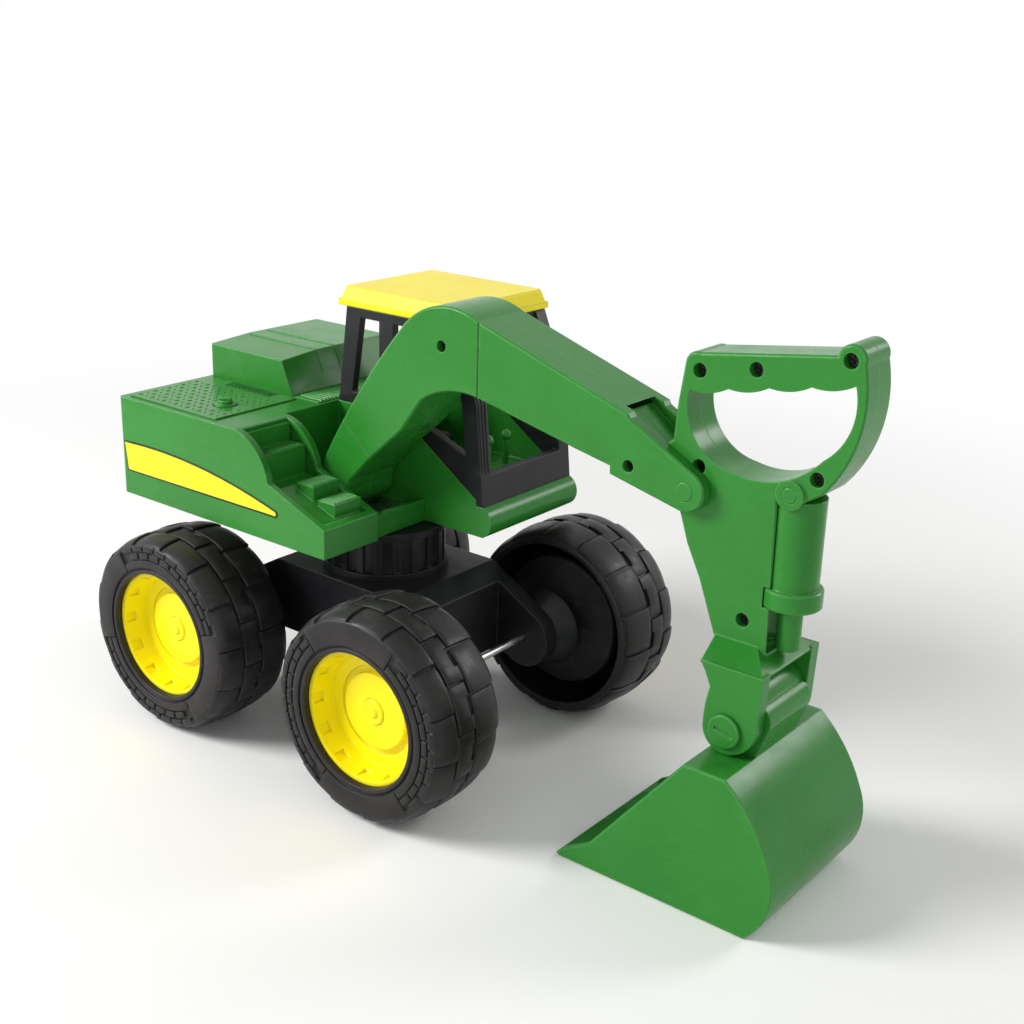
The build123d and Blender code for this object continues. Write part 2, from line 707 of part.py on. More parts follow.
def cab_side(y):
    # One side of the cab's frame, with its windows cut out; it stands on the tub's edge.
    with BuildPart() as frame:
        with BuildSketch(side_plane(y)):
            with BuildLine():
                Polyline((post_foot_rear, deck), (post_head_rear, cab_top), (post_head_front, cab_top),
                         (post_brow_front, brow_z), (post_foot_front, sill), (cab_sill_back, deck),
                         close=True)
            make_face()
            with BuildLine():
                Polyline((post_foot_rear + post_width, deck + window_sill),
                         (post_head_rear + post_width, cab_top - rail_height),
                         (mullion_back, cab_top - rail_height), (mullion_back, deck + window_sill),
                         close=True)
            make_face(mode=Mode.SUBTRACT)
            with BuildLine():
                Polyline((mullion_front, deck + window_sill), (mullion_front, cab_top - rail_height),
                         (post_head_front - post_width, cab_top - rail_height),
                         (post_brow_front - post_width, brow_z),
                         (front_x(deck - 12) - post_width, deck - 12), (25.5, deck - 4), close=True)
            make_face(mode=Mode.SUBTRACT)
        extrude(amount=frame_thickness)
    return frame.part


with BuildPart() as cab_frame:
    add(Pos(0, 0, seat_gap) * cab_side(slot_left + frame_thickness))
    add(Pos(0, 0, seat_gap) * cab_side(house_left))
    # Rails across the top, and the panel and posts that face forward
    for x in (post_head_rear, post_head_front - frame_thickness):
        with Locations((x, slot_left, cab_top + seat_gap)):
            Box(frame_thickness, house_left - slot_left, rail_height,
                align=(Align.MIN, Align.MIN, Align.MAX))
    for low, high, inner, outer in (
        (sill, sill + front_panel_height, slot_left, house_left),
        (sill, cab_top, slot_left, slot_left + 7.5),
        (sill, cab_top, house_left - 7.5, house_left),
    ):
        levels = [z for z in (low, brow_z, high) if low <= z <= high]
        front_line = [(front_x(z), z + seat_gap) for z in levels]
        back_line = [(x - frame_thickness, z) for x, z in reversed(front_line)]
        with BuildSketch(side_plane(outer)):
            with BuildLine():
                Polyline(*front_line, *back_line, close=True)
            make_face()
        extrude(amount=outer - inner)
finish(cab_frame, "cab_frame")

with BuildPart() as cab_roof:
    roof_x = (post_head_rear - roof_overhang - 6, post_head_front + roof_front_overhang)
    roof_y = (slot_left, house_left + roof_overhang)
    roof_size = (roof_x[1] - roof_x[0], roof_y[1] - roof_y[0])
    roof_middle = ((roof_x[0] + roof_x[1]) / 2, (roof_y[0] + roof_y[1]) / 2)
    with BuildSketch(Plane.XY.offset(cab_top + 2 * seat_gap)):
        with Locations(roof_middle):
            RectangleRounded(*roof_size, 3.0)
    extrude(amount=roof_lip)
    with BuildSketch(Plane.XY.offset(cab_top + 2 * seat_gap + roof_lip)):
        with Locations(roof_middle):
            RectangleRounded(roof_size[0] - 2, roof_size[1] - 2, 3.0)
    with BuildSketch(Plane.XY.offset(cab_top + 2 * seat_gap + roof_height)):
        with Locations(roof_middle):
            RectangleRounded(roof_size[0] - 2 * roof_inset, roof_size[1] - 2 * roof_inset, 3.0)
    loft()
    fillet(cab_roof.faces().sort_by(Axis.Z)[-1].edges(), 1.2)
finish(cab_roof, "cab_roof")

cab_middle = (slot_left + house_left) / 2
with BuildPart() as cab_seat:
    with Locations((seat_x, cab_middle, cab_floor + seat_gap)):
        Box(seat_depth, seat_width, seat_height, align=(Align.CENTER, Align.CENTER, Align.MIN))
    with Locations((seat_x - seat_depth / 2 + 1, cab_middle, cab_floor + seat_gap)):
        Box(seat_back_thickness, seat_width, seat_back_height,
            align=(Align.CENTER, Align.CENTER, Align.MIN))
    fillet(cab_seat.edges().filter_by(Axis.Y), 2.5)
finish(cab_seat, "cab_seat")

with BuildPart() as cab_console:
    with Locations((console_x, cab_middle, cab_floor + seat_gap)):
        Box(console_depth, console_width, console_height, align=(Align.CENTER, Align.CENTER, Align.MIN))
        with GridLocations(1, lever_spacing, 1, 2):
            Cylinder(1.6, lever_height, align=(Align.CENTER, Align.CENTER, Align.MIN))
    with Locations((console_x, cab_middle, cab_floor + seat_gap + lever_height)):
        with GridLocations(1, lever_spacing, 1, 2):
            Sphere(2.8)
finish(cab_console, "cab_console")

# ---------------------------------------------------------------- boom

boom_screws = [near(root, 68.2, 80.85), near(tip, -26.8, 4.7)]
arm_screws = [near(tip, -0.3, 47.8), near(tip, 24.0, 52.3), near(tip, 61.4, 62.0),
              near(tip, 53.0, 15.4), near(tip, 2.4, 9.6), near(bucket_pivot, -3.8, 42.3)]


def fork_relief(angle):
    # The wedge behind the fork's round pocket that the arm's shoulder swings back into.
    with BuildSketch(Plane.XZ) as wedge:
        with BuildLine():
            Polyline(tip, around_tip(fork_relief_reach, 100), around_tip(fork_relief_reach, angle),
                     close=True)
        make_face()
    return wedge.sketch


def boom_outline(inset):
    # Side view of the gooseneck boom, from the eye at its root to the eye at its tip.
    upper = atan2(24.3 - 7.6, -27.4 - 4.0)
    with BuildSketch(Plane.XZ) as outline:
        with BuildLine():
            Line(near(root, -8.6, 5.0), near(root, -4.0, 17.0))
            ThreePointArc(near(root, -4.0, 17.0), near(root, 16.5, 49.5), near(root, 44.4, 85.6))
            ThreePointArc(near(root, 44.4, 85.6), near(root, 63.5, 97.8), near(root, 88.3, 95.1))
            Polyline(near(root, 88.3, 95.1), near(tip, -28.5, 26.2), near(tip, -27.4, 24.3),
                     near(tip, tip_eye_radius * cos(upper - radians(90)),
                          tip_eye_radius * sin(upper - radians(90))),
                     near(tip, -1.9, -tip_eye_radius + 0.2), near(tip, -35.8, -0.6),
                     near(tip, -36.1, 2.9),
                     near(tip, -52.8, 6.2), near(root, 89.8, 61.0))
            ThreePointArc(near(root, 89.8, 61.0), near(root, 71.0, 60.8), near(root, 56.6, 54.2))
            Polyline(near(root, 56.6, 54.2), near(root, 44.5, 37.7), near(root, 24.6, 20.0),
                     near(root, 11.8, 6.4), near(root, 8.0, -5.0), near(root, -8.6, 5.0))
        make_face()
        with Locations(tip):
            Circle(tip_eye_radius)
        with Locations(root):
            Circle(root_eye_radius)
        if inset:
            offset(amount=-inset, mode=Mode.REPLACE)
            with Locations(tip):
                Circle(fork_clear_radius + boom_wall, mode=Mode.SUBTRACT)
            add(fork_relief(fork_relief_angle + degrees(boom_wall / fork_clear_radius)),
                mode=Mode.SUBTRACT)
            with Locations(root):
                Circle(root_eye_radius + 1, mode=Mode.SUBTRACT)
    return outline.sketch


for side_name, side in (("right", -1), ("left", 1)):
    outer_y = boom_y + side * boom_half
    with BuildPart() as boom_shell:
        extrude(Pos(0, boom_y, 0) * boom_outline(0), amount=-side * boom_half)
        outer_face = boom_shell.faces().filter_by(Plane.XZ).sort_by(Axis.Y)[-1 if side > 0 else 0]
        outer_edges = outer_face.edges()
        chamfer(outer_edges, 0.8)
        extrude(Pos(0, boom_y, 0) * boom_outline(boom_wall), amount=-side * (boom_half - boom_wall),
                mode=Mode.SUBTRACT)
        # Posts for the screws
        for x, z in boom_screws:
            with Locations((x, boom_y + side * (boom_half - 1) / 2, z)):
                Cylinder(screw_post_radius, boom_half - 1, rotation=(90, 0, 0))
        # Room for the arm between the plates of the fork
        with Locations((tip[0], boom_y + side * fork_half / 2, tip[1])):
            Cylinder(fork_clear_radius, fork_half, rotation=(90, 0, 0), mode=Mode.SUBTRACT)
        extrude(Pos(0, boom_y, 0) * fork_relief(fork_relief_angle), amount=-side * fork_half,
                mode=Mode.SUBTRACT)
        # Bores for the pins
        with Locations((tip[0], boom_y, tip[1])):
            Cylinder(boom_pin_radius + seat_gap / 2, 3 * boom_half, rotation=(90, 0, 0),
                     mode=Mode.SUBTRACT)
        with Locations((root[0], boom_y, root[1])):
            Cylinder(boom_pin_radius + pin_clearance, 3 * boom_half, rotation=(90, 0, 0),
                     mode=Mode.SUBTRACT)
        # Seam grooves on the flat of the plate
        with Locations((near(root, 89.0, 0)[0], outer_y, root[1] + 78)):
            Box(0.9, 1.2, 60, mode=Mode.SUBTRACT)
        with Locations(Location((root[0] + 17.0, outer_y, root[1] + 28.0), (0, 41, 0))):
            Box(26.0, 0.8, 0.8, mode=Mode.SUBTRACT)
        # Screw holes: deep recess on the right, blind pilot on the left
        for x, z in boom_screws:
            if side < 0:
                with Locations((x, outer_y, z)):
                    Cylinder(screw_recess_radius - 0.4, 2 * screw_recess_depth, rotation=(90, 0, 0),
                             mode=Mode.SUBTRACT)
            with Locations((x, boom_y, z)):
                Cylinder(screw_shank_radius + screw_clearance,
                         2 * (screw_grip + 5 if side > 0 else boom_half),
                         rotation=(90, 0, 0), mode=Mode.SUBTRACT)
    finish(boom_shell, f"boom_{side_name}")

with BuildPart() as boom_screw_set:
    for x, z in boom_screws:
        with Locations((x, boom_y - boom_half + screw_recess_depth - screw_head_height / 2, z)):
            Cylinder(screw_head_radius, screw_head_height, rotation=(90, 0, 0))
        shank = boom_half - screw_recess_depth + screw_grip + 4
        with Locations((x, boom_y - boom_half + screw_recess_depth + shank / 2, z)):
            Cylinder(screw_shank_radius, shank, rotation=(90, 0, 0))
        with Locations((x, boom_y - boom_half + screw_recess_depth - screw_head_height, z)):
            Box(3.2, 1.4, 0.8, mode=Mode.SUBTRACT)
            Box(0.8, 1.4, 3.2, mode=Mode.SUBTRACT)
finish(boom_screw_set, "boom_screws")

with BuildPart() as arm_pin:
    with Locations((tip[0], boom_y, tip[1])):
        Cylinder(boom_pin_radius, 2 * boom_half + 0.8, rotation=(90, 0, 0))
    chamfer(arm_pin.edges().filter_by(GeomType.CIRCLE), 0.4)
finish(arm_pin, "arm_pin")

# ---------------------------------------------------------------- arm with its handle

lug_radius = fork_clear_radius - arm_lug_gap
barrel_top = tip[1] + 4.5
barrel_foot = barrel_top - barrel_length
collar_foot = barrel_foot - collar_length
crown_z = bucket_pivot_z + crown_foot
crown_top = crown_z + crown_height
rod_foot = crown_z + 5.6
cylinder_pin_place = (cylinder_x, tip[1] + 7.3)
wave_count = 4


def arm_outline():
    # Side view of the arm: plate, lug in the boom's fork, and the D-shaped hand loop on top.
    with BuildSketch(Plane.XZ) as outline:
        with BuildLine():
            Line(near(tip, -0.5, 54.9), near(tip, 56.0, 63.2))
            ThreePointArc(near(tip, 56.0, 63.2), near(tip, 62.5, 68.2), near(tip, 67.5, 61.0))
            ThreePointArc(near(tip, 67.5, 61.0), near(tip, 67.6, 33.0), near(tip, 55.4, 9.6))
            Polyline(near(tip, 55.4, 9.6), near(tip, 48.0, 4.8), near(tip, 37.4, 4.8),
                     near(bucket_pivot, 8.2, 33.0), near(bucket_pivot, 8.2, crown_foot),
                     near(bucket_pivot, -14.4, crown_foot), near(bucket_pivot, -15.2, 29.2),
                     near(bucket_pivot, -24.8, 53.9), near(tip, -0.7, -23.4), near(tip, -5.9, -8.6),
                     around_tip(lug_radius, 189))
            ThreePointArc(around_tip(lug_radius, 189), around_tip(lug_radius, 155),
                          around_tip(lug_radius, 120))
            Polyline(around_tip(lug_radius, 120), near(tip, -9.3, 33.7), near(tip, -7.1, 50.5))
            ThreePointArc(near(tip, -7.1, 50.5), near(tip, -5.2, 53.8), near(tip, -0.5, 54.9))
        make_face()
        # Hand hole: rounded below, with finger waves under the grip
        start = near(tip, -4.4, 39.4)
        end = near(tip, 64.4, 53.2)
        with BuildLine():
            ThreePointArc(start, near(tip, -0.8, 21.0), near(tip, 17.0, 10.4))
            ThreePointArc(near(tip, 17.0, 10.4), near(tip, 39.0, 12.0), near(tip, 54.8, 23.4))
            ThreePointArc(near(tip, 54.8, 23.4), near(tip, 64.0, 36.0), end)
            for wave in range(wave_count):
                a = along(start, end, wave / wave_count)
                b = along(start, end, (wave + 1) / wave_count)
                ThreePointArc(a, near(along(a, b, 0.5), 0.3, -1.5), b)
        make_face(mode=Mode.SUBTRACT)
    return outline.sketch


def ear_outline():
    # Side view of one ear of the fork that holds the bucket.
    with BuildSketch(Plane.XZ) as outline:
        with BuildLine():
            Polyline(near(bucket_pivot, 13.5, 2.0), near(bucket_pivot, 14.5, crown_foot + 1),
                     near(bucket_pivot, -13.6, crown_foot + 1), near(bucket_pivot, -11.0, 23.0),
                     near(bucket_pivot, -8.2, 16.8))
            ThreePointArc(near(bucket_pivot, -8.2, 16.8), near(bucket_pivot, -9.6, 10.0),
                          near(bucket_pivot, -ear_eye_radius, 0))
            Line(near(bucket_pivot, -ear_eye_radius, 0), near(bucket_pivot, 4.0, -9.4))
            ThreePointArc(near(bucket_pivot, 4.0, -9.4), near(bucket_pivot, 10.7, -4.6),
                          near(bucket_pivot, 13.5, 2.0))
        make_face()
        with Locations(bucket_pivot):
            Circle(ear_eye_radius)
    return outline.sketch


for side_name, side in (("right", -1), ("left", 1)):
    outer_y = boom_y + side * arm_half
    with BuildPart() as arm_shell:
        extrude(Pos(0, boom_y, 0) * arm_outline(), amount=-side * arm_half)
        outer_face = arm_shell.faces().filter_by(Plane.XZ).sort_by(Axis.Y)[-1 if side > 0 else 0]
        chamfer(outer_face.outer_wire().edges(), 0.8)
        # Raised boss round the cylinder's pin
        with Locations((cylinder_pin_place[0], boom_y + side * (arm_half + arm_boss_height) / 2,
                        cylinder_pin_place[1])):
            Cylinder(cylinder_boss_radius, arm_half + arm_boss_height, rotation=(90, 0, 0))
        # Crown that widens the arm to the ears
        for z, half, back, front in ((crown_top, arm_half, -15.2, 4.0), (crown_z, ear_half, -13.6, 14.5)):
            with BuildSketch(Plane.XY.offset(z)):
                with Locations((bucket_pivot_x + (back + front) / 2, boom_y + side * half / 2)):
                    Rectangle(front - back, half)
        loft()
        extrude(Pos(0, boom_y + side * ear_inner, 0) * ear_outline(), amount=-side * ear_thickness)
        # Hollow in the plate
        with BuildSketch(side_plane(boom_y)):
            with BuildLine():
                Polyline(near(tip, 7.5, -13.0), near(bucket_pivot, -18.0, 50.0),
                         near(bucket_pivot, -10.5, 36.5),
                         near(bucket_pivot, -1.6, 36.5), near(tip, 29.4, -13.0), close=True)
            make_face()
        extrude(amount=-side * (arm_half - arm_wall), mode=Mode.SUBTRACT)
        for x, z in arm_screws:
            with Locations((x, boom_y + side * (arm_half - 0.5) / 2, z)):
                Cylinder(screw_recess_radius + 1.2, arm_half - 0.5, rotation=(90, 0, 0))
        # Channel that the cylinder lies in, and the pocket for its tongue
        for radius, low, high in ((barrel_radius + 2 * gap, rod_foot - gap, barrel_top + gap),
                                  (collar_radius + 2 * gap, collar_foot - gap, barrel_foot + gap)):
            with Locations((cylinder_x, boom_y, (low + high) / 2)):
                Cylinder(radius, high - low, mode=Mode.SUBTRACT)
        with Locations((cylinder_x, boom_y, cylinder_pin_place[1])):
            Box(8.8, 6.4, 6.2, mode=Mode.SUBTRACT)
        # Bores for the pins
        for place, radius in ((tip, boom_pin_radius + pin_clearance),
                              (cylinder_pin_place, cylinder_pin_radius + seat_gap / 2),
                              (bucket_pivot, bucket_pin_radius + seat_gap / 2)):
            with Locations((place[0], boom_y, place[1])):
                Cylinder(radius, 3 * ear_half, rotation=(90, 0, 0), mode=Mode.SUBTRACT)
        for x, z in arm_screws:
            if side < 0:
                with Locations((x, outer_y, z)):
                    Cylinder(screw_recess_radius, 2 * screw_recess_depth, rotation=(90, 0, 0),
                             mode=Mode.SUBTRACT)
            with Locations((x, boom_y, z)):
                Cylinder(screw_shank_radius + screw_clearance, 2 * (screw_grip if side > 0 else arm_half),
                         rotation=(90, 0, 0), mode=Mode.SUBTRACT)
    finish(arm_shell, f"arm_{side_name}")

with BuildPart() as arm_screw_set:
    for x, z in arm_screws:
        with Locations((x, boom_y - arm_half + screw_recess_depth - screw_head_height / 2, z)):
            Cylinder(screw_head_radius, screw_head_height, rotation=(90, 0, 0))
        shank = arm_half - screw_recess_depth + screw_grip - 1
        with Locations((x, boom_y - arm_half + screw_recess_depth + shank / 2, z)):
            Cylinder(screw_shank_radius, shank, rotation=(90, 0, 0))
        with Locations((x, boom_y - arm_half + screw_recess_depth - screw_head_height, z)):
            Box(3.2, 1.4, 0.8, mode=Mode.SUBTRACT)
            Box(0.8, 1.4, 3.2, mode=Mode.SUBTRACT)
finish(arm_screw_set, "arm_screws")

with BuildPart() as cylinder_barrel:
    with Locations((cylinder_x, boom_y, barrel_top)):
        Cylinder(barrel_radius, barrel_length, align=(Align.CENTER, Align.CENTER, Align.MAX))
    with Locations((cylinder_x, boom_y, barrel_foot)):
        Cylinder(collar_radius, collar_length, align=(Align.CENTER, Align.CENTER, Align.MAX))
    chamfer(cylinder_barrel.edges().filter_by(GeomType.CIRCLE).sort_by(Axis.Z)[:2], 0.6)
    with Locations((cylinder_x, boom_y, barrel_top - 1)):
        Box(8.0, 6.0, 6.4, align=(Align.CENTER, Align.CENTER, Align.MIN))
    with Locations((cylinder_pin_place[0], boom_y, cylinder_pin_place[1])):
        Cylinder(cylinder_pin_radius + seat_gap / 2, 30, rotation=(90, 0, 0), mode=Mode.SUBTRACT)
    with Locations((cylinder_x, boom_y, collar_foot)):
        Cylinder(rod_radius + seat_gap, 2 * (barrel_length - 2), mode=Mode.SUBTRACT)
finish(cylinder_barrel, "cylinder_barrel")

with BuildPart() as cylinder_rod:
    with Locations((cylinder_x, boom_y, rod_foot)):
        Cylinder(rod_radius, collar_foot + 26 - rod_foot, align=(Align.CENTER, Align.CENTER, Align.MIN))
    chamfer(cylinder_rod.edges().filter_by(GeomType.CIRCLE), 0.5)
finish(cylinder_rod, "cylinder_rod")

with BuildPart() as cylinder_pin:
    with Locations((cylinder_pin_place[0], boom_y, cylinder_pin_place[1])):
        Cylinder(cylinder_pin_radius, 2 * (arm_half + arm_boss_height) + 0.6, rotation=(90, 0, 0))
    chamfer(cylinder_pin.edges().filter_by(GeomType.CIRCLE), 0.4)
finish(cylinder_pin, "cylinder_pin")

with BuildPart() as bucket_pin:
    with Locations((bucket_pivot_x, boom_y, bucket_pivot_z)):
        Cylinder(bucket_pin_radius, 2 * ear_half + 2, rotation=(90, 0, 0))
    for side in (-1, 1):
        with Locations((bucket_pivot_x, boom_y + side * (ear_half + seat_gap + pin_head_height / 2),
                        bucket_pivot_z)):
            Cylinder(pin_head_radius, pin_head_height, rotation=(90, 0, 0))
    chamfer(bucket_pin.edges().filter_by(GeomType.CIRCLE).sort_by(Axis.Y)[0], 0.5)
    with Locations((bucket_pivot_x, boom_y - ear_half - pin_head_height - seat_gap, bucket_pivot_z)):
        Box(8.5, 1.6, 1.5, rotation=(0, 15, 0), mode=Mode.SUBTRACT)
finish(bucket_pin, "bucket_pin")

# ---------------------------------------------------------------- bucket


def bucket_outline(inset):
    # Side view: flat floor with a thin blade in front, rounded back, open mouth facing the machine.
    with BuildSketch(Plane.XZ) as outline:
        with BuildLine():
            Polyline((bucket_pivot_x + 24.5, 0), (bucket_pivot_x - 66.0, 0), (bucket_pivot_x - 67.5, 1.2),
                     (bucket_pivot_x - 65.0, 4.0), (bucket_pivot_x - 51.5, 11.8),
                     (bucket_pivot_x - 8.0, bucket_height), (bucket_pivot_x + 11.2, bucket_height))
            ThreePointArc((bucket_pivot_x + 11.2, bucket_height),
                          (bucket_pivot_x + 24.6, bucket_height - 14.5),
                          (bucket_pivot_x + 32.3, bucket_height - 29.0))
            ThreePointArc((bucket_pivot_x + 32.3, bucket_height - 29.0),
                          (bucket_pivot_x + 35.0, bucket_height - 47.0),
                          (bucket_pivot_x + 24.5, 0))
        make_face()
        if inset:
            offset(amount=-inset, mode=Mode.REPLACE)
            with Locations((bucket_pivot_x - 6.0, bucket_height / 2)):
                Rectangle(150, bucket_height - 2 * inset, align=(Align.MAX, Align.CENTER))
    return outline.sketch


with BuildPart() as bucket_shell:
    extrude(Pos(0, boom_y + bucket_half, 0) * bucket_outline(0), amount=2 * bucket_half)
    outer = bucket_shell.faces().filter_by(Plane.XZ).sort_by(Axis.Y)
    chamfer(outer[0].edges() + outer[-1].edges(), 0.6)
    extrude(Pos(0, boom_y + bucket_half - bucket_wall, 0) * bucket_outline(bucket_wall),
            amount=2 * (bucket_half - bucket_wall), mode=Mode.SUBTRACT)
finish(bucket_shell, "bucket_shell")

with BuildPart() as bucket_knuckle:
    with BuildSketch(side_plane(boom_y + knuckle_half)):
        with BuildLine():
            Polyline(near(bucket_pivot, 16.3, 3.5),
                     near(bucket_pivot, 11.0, bucket_height - bucket_pivot_z),
                     near(bucket_pivot, -8.0, bucket_height - bucket_pivot_z),
                     near(bucket_pivot, -11.6, -2.0),
                     near(bucket_pivot, -12.0, 7.0))
            ThreePointArc(near(bucket_pivot, -12.0, 7.0), near(bucket_pivot, -1.5, knuckle_radius),
                          near(bucket_pivot, 11.8, 12.2))
            ThreePointArc(near(bucket_pivot, 11.8, 12.2), near(bucket_pivot, 15.6, 8.6),
                          near(bucket_pivot, 16.3, 3.5))
        make_face()
        with Locations(bucket_pivot):
            Circle(bucket_pin_radius + pin_clearance, mode=Mode.SUBTRACT)
    extrude(amount=2 * knuckle_half)
finish(bucket_knuckle, "bucket_knuckle")
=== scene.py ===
import json
from math import cos, pi, radians, sin

import bmesh
import bpy
from mathutils import Matrix, Vector


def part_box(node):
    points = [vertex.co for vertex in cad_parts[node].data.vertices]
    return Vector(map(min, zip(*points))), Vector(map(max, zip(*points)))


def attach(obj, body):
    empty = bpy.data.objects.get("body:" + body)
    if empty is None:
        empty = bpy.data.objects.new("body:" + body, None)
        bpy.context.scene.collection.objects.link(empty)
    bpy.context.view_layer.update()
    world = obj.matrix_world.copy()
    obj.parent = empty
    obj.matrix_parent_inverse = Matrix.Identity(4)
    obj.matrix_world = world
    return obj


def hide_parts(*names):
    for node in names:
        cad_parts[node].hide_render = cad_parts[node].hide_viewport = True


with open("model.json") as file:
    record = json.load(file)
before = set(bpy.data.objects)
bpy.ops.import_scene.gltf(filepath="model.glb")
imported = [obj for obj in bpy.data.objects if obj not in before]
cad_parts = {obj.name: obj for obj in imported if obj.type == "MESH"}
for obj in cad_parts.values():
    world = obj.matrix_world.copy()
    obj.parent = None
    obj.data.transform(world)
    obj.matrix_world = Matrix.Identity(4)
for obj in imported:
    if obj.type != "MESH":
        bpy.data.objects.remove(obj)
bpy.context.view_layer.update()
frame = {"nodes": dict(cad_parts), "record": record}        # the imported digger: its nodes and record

mm = 0.001
scene = bpy.context.scene
nodes = frame["nodes"]
print("digger: frame loaded,", len(nodes), "CAD nodes")


# camera, lamps and floor

cameraLook = {
    "azimuth": 37.93,
    "elevation": 19.47,
    "roll": 1.70,
    "distance": 0.671,
    "target": (0.0759, 0.0044, 0.12415),
    "lens": 50.84,
    "sensorWidth": 36,
    "clip": (0.01, 50),
}


def makeCamera(look):
    a, e = radians(look["azimuth"]), radians(look["elevation"])
    back = Vector((sin(a) * cos(e), -cos(a) * cos(e), sin(e)))
    data = bpy.data.cameras.new("productCamera")
    data.lens = look["lens"]
    data.sensor_width = look["sensorWidth"]
    data.clip_start, data.clip_end = look["clip"]
    camera = bpy.data.objects.new("productCamera", data)
    scene.collection.objects.link(camera)
    place = Matrix.Translation(Vector(look["target"]) + back * look["distance"])
    aim = (-back).to_track_quat("-Z", "Y").to_matrix().to_4x4()
    camera.matrix_world = place @ aim @ Matrix.Rotation(radians(look["roll"]), 4, "Z")
    scene.camera = camera


studio = {
    "skyLight": 0.36,       # what the sky gives to matt surfaces
    "lamps": {
        "keyLamp": {"place": (-0.80, -0.90, 0.85), "size": 0.7, "power": 22.0},
        "fillLamp": {"place": (1.00, -0.80, 0.60), "size": 0.7, "power": 1.8},
        "backLamp": {"place": (0.80, 1.00, 0.82), "size": 0.5, "power": 5.6},
    },
    "lampAim": (0.08, 0, 0.10),
    "floorSize": 14.0,
    "floorDrop": 0.0002,    # keeps the tyres and the bucket's lip from cutting the floor
    "floorColour": (0.93, 0.925, 0.915, 1),
    "floorRoughness": 0.6,
    "floorShine": 0.2,
    "paperFade": (0.30, 0.85),  # where the floor turns into plain white, from the middle outwards
}


def backgroundRays(tree):
    # 1 where the camera sees, mirrors or looks through to the background
    ray = tree.nodes.new("ShaderNodeLightPath").outputs
    found = ray["Is Camera Ray"]
    for other in ("Is Glossy Ray", "Is Transmission Ray"):
        both = tree.nodes.new("ShaderNodeMath")
        both.operation = "MAXIMUM"
        tree.links.new(found, both.inputs[0])
        tree.links.new(ray[other], both.inputs[1])
        found = both.outputs[0]
    return found


def makeSky(look):
    world = bpy.data.worlds.new("studioSky")
    scene.world = world
    world.use_nodes = True
    tree = world.node_tree
    ground = tree.nodes["Background"]
    level = tree.nodes.new("ShaderNodeMapRange")
    level.inputs["To Min"].default_value = look["skyLight"]
    level.inputs["To Max"].default_value = 1.0
    tree.links.new(backgroundRays(tree), level.inputs["Value"])
    ground.inputs["Color"].default_value = (1, 1, 1, 1)
    tree.links.new(level.outputs[0], ground.inputs["Strength"])


def makeLamp(name, look, aimedAt):
    data = bpy.data.lights.new(name, "AREA")
    data.shape = "DISK"
    data.size = look["size"]
    data.energy = look["power"]
    lamp = bpy.data.objects.new(name, data)
    scene.collection.objects.link(lamp)
    place = Vector(look["place"])
    aim = (Vector(aimedAt) - place).to_track_quat("-Z", "Y").to_matrix().to_4x4()
    lamp.matrix_world = Matrix.Translation(place) @ aim


def makeFloor(look):
    half, level = look["floorSize"] / 2, -look["floorDrop"]
    mesh = bpy.data.meshes.new("studioFloor")
    corners = [(x, y, level) for x, y in ((-half, -half), (half, -half), (half, half), (-half, half))]
    mesh.from_pydata(corners, [], [(0, 1, 2, 3)])
    floor = bpy.data.objects.new("studioFloor", mesh)
    scene.collection.objects.link(floor)
    paper = bpy.data.materials.new("studioPaper")
    paper.use_nodes = True
    tree = paper.node_tree
    shader = tree.nodes["Principled BSDF"]
    shader.inputs["Base Color"].default_value = look["floorColour"]
    shader.inputs["Roughness"].default_value = look["floorRoughness"]
    shader.inputs["Specular IOR Level"].default_value = look["floorShine"]
    # further out the camera sees plain white
    reach = tree.nodes.new("ShaderNodeVectorMath")
    reach.operation = "LENGTH"
    tree.links.new(tree.nodes.new("ShaderNodeTexCoord").outputs["Object"], reach.inputs[0])
    fade = tree.nodes.new("ShaderNodeMapRange")
    fade.interpolation_type = "SMOOTHSTEP"
    fade.inputs["From Min"].default_value, fade.inputs["From Max"].default_value = look["paperFade"]
    tree.links.new(reach.outputs["Value"], fade.inputs["Value"])
    amount = tree.nodes.new("ShaderNodeMath")
    amount.operation = "MULTIPLY"
    tree.links.new(fade.outputs[0], amount.inputs[0])
    tree.links.new(backgroundRays(tree), amount.inputs[1])
    white = tree.nodes.new("ShaderNodeEmission")
    white.inputs["Color"].default_value = (1, 1, 1, 1)
    both = tree.nodes.new("ShaderNodeMixShader")
    tree.links.new(amount.outputs[0], both.inputs[0])
    tree.links.new(shader.outputs[0], both.inputs[1])
    tree.links.new(white.outputs[0], both.inputs[2])
    tree.links.new(both.outputs[0], tree.nodes["Material Output"].inputs["Surface"])
    mesh.materials.append(paper)


makeCamera(cameraLook)
makeSky(studio)
for name, look in studio["lamps"].items():
    makeLamp(name, look, studio["lampAim"])
makeFloor(studio)
scene.view_settings.view_transform = "Standard"
print("digger: camera, lamps and floor set")


# finishes

def startFinish(name):
    finish = bpy.data.materials.new(name)
    finish.use_nodes = True
    tree = finish.node_tree
    return finish, tree, tree.nodes["Principled BSDF"]


def noiseFrom(tree, coords, size, detail, stretch=(1, 1, 1)):
    # size is how wide one blotch is, in metres
    spread = tree.nodes.new("ShaderNodeMapping")
    spread.inputs["Scale"].default_value = stretch
    tree.links.new(coords, spread.inputs["Vector"])
    noise = tree.nodes.new("ShaderNodeTexNoise")
    noise.inputs["Scale"].default_value = 1 / size
    noise.inputs["Detail"].default_value = detail
    tree.links.new(spread.outputs["Vector"], noise.inputs["Vector"])
    return noise.outputs["Fac"]


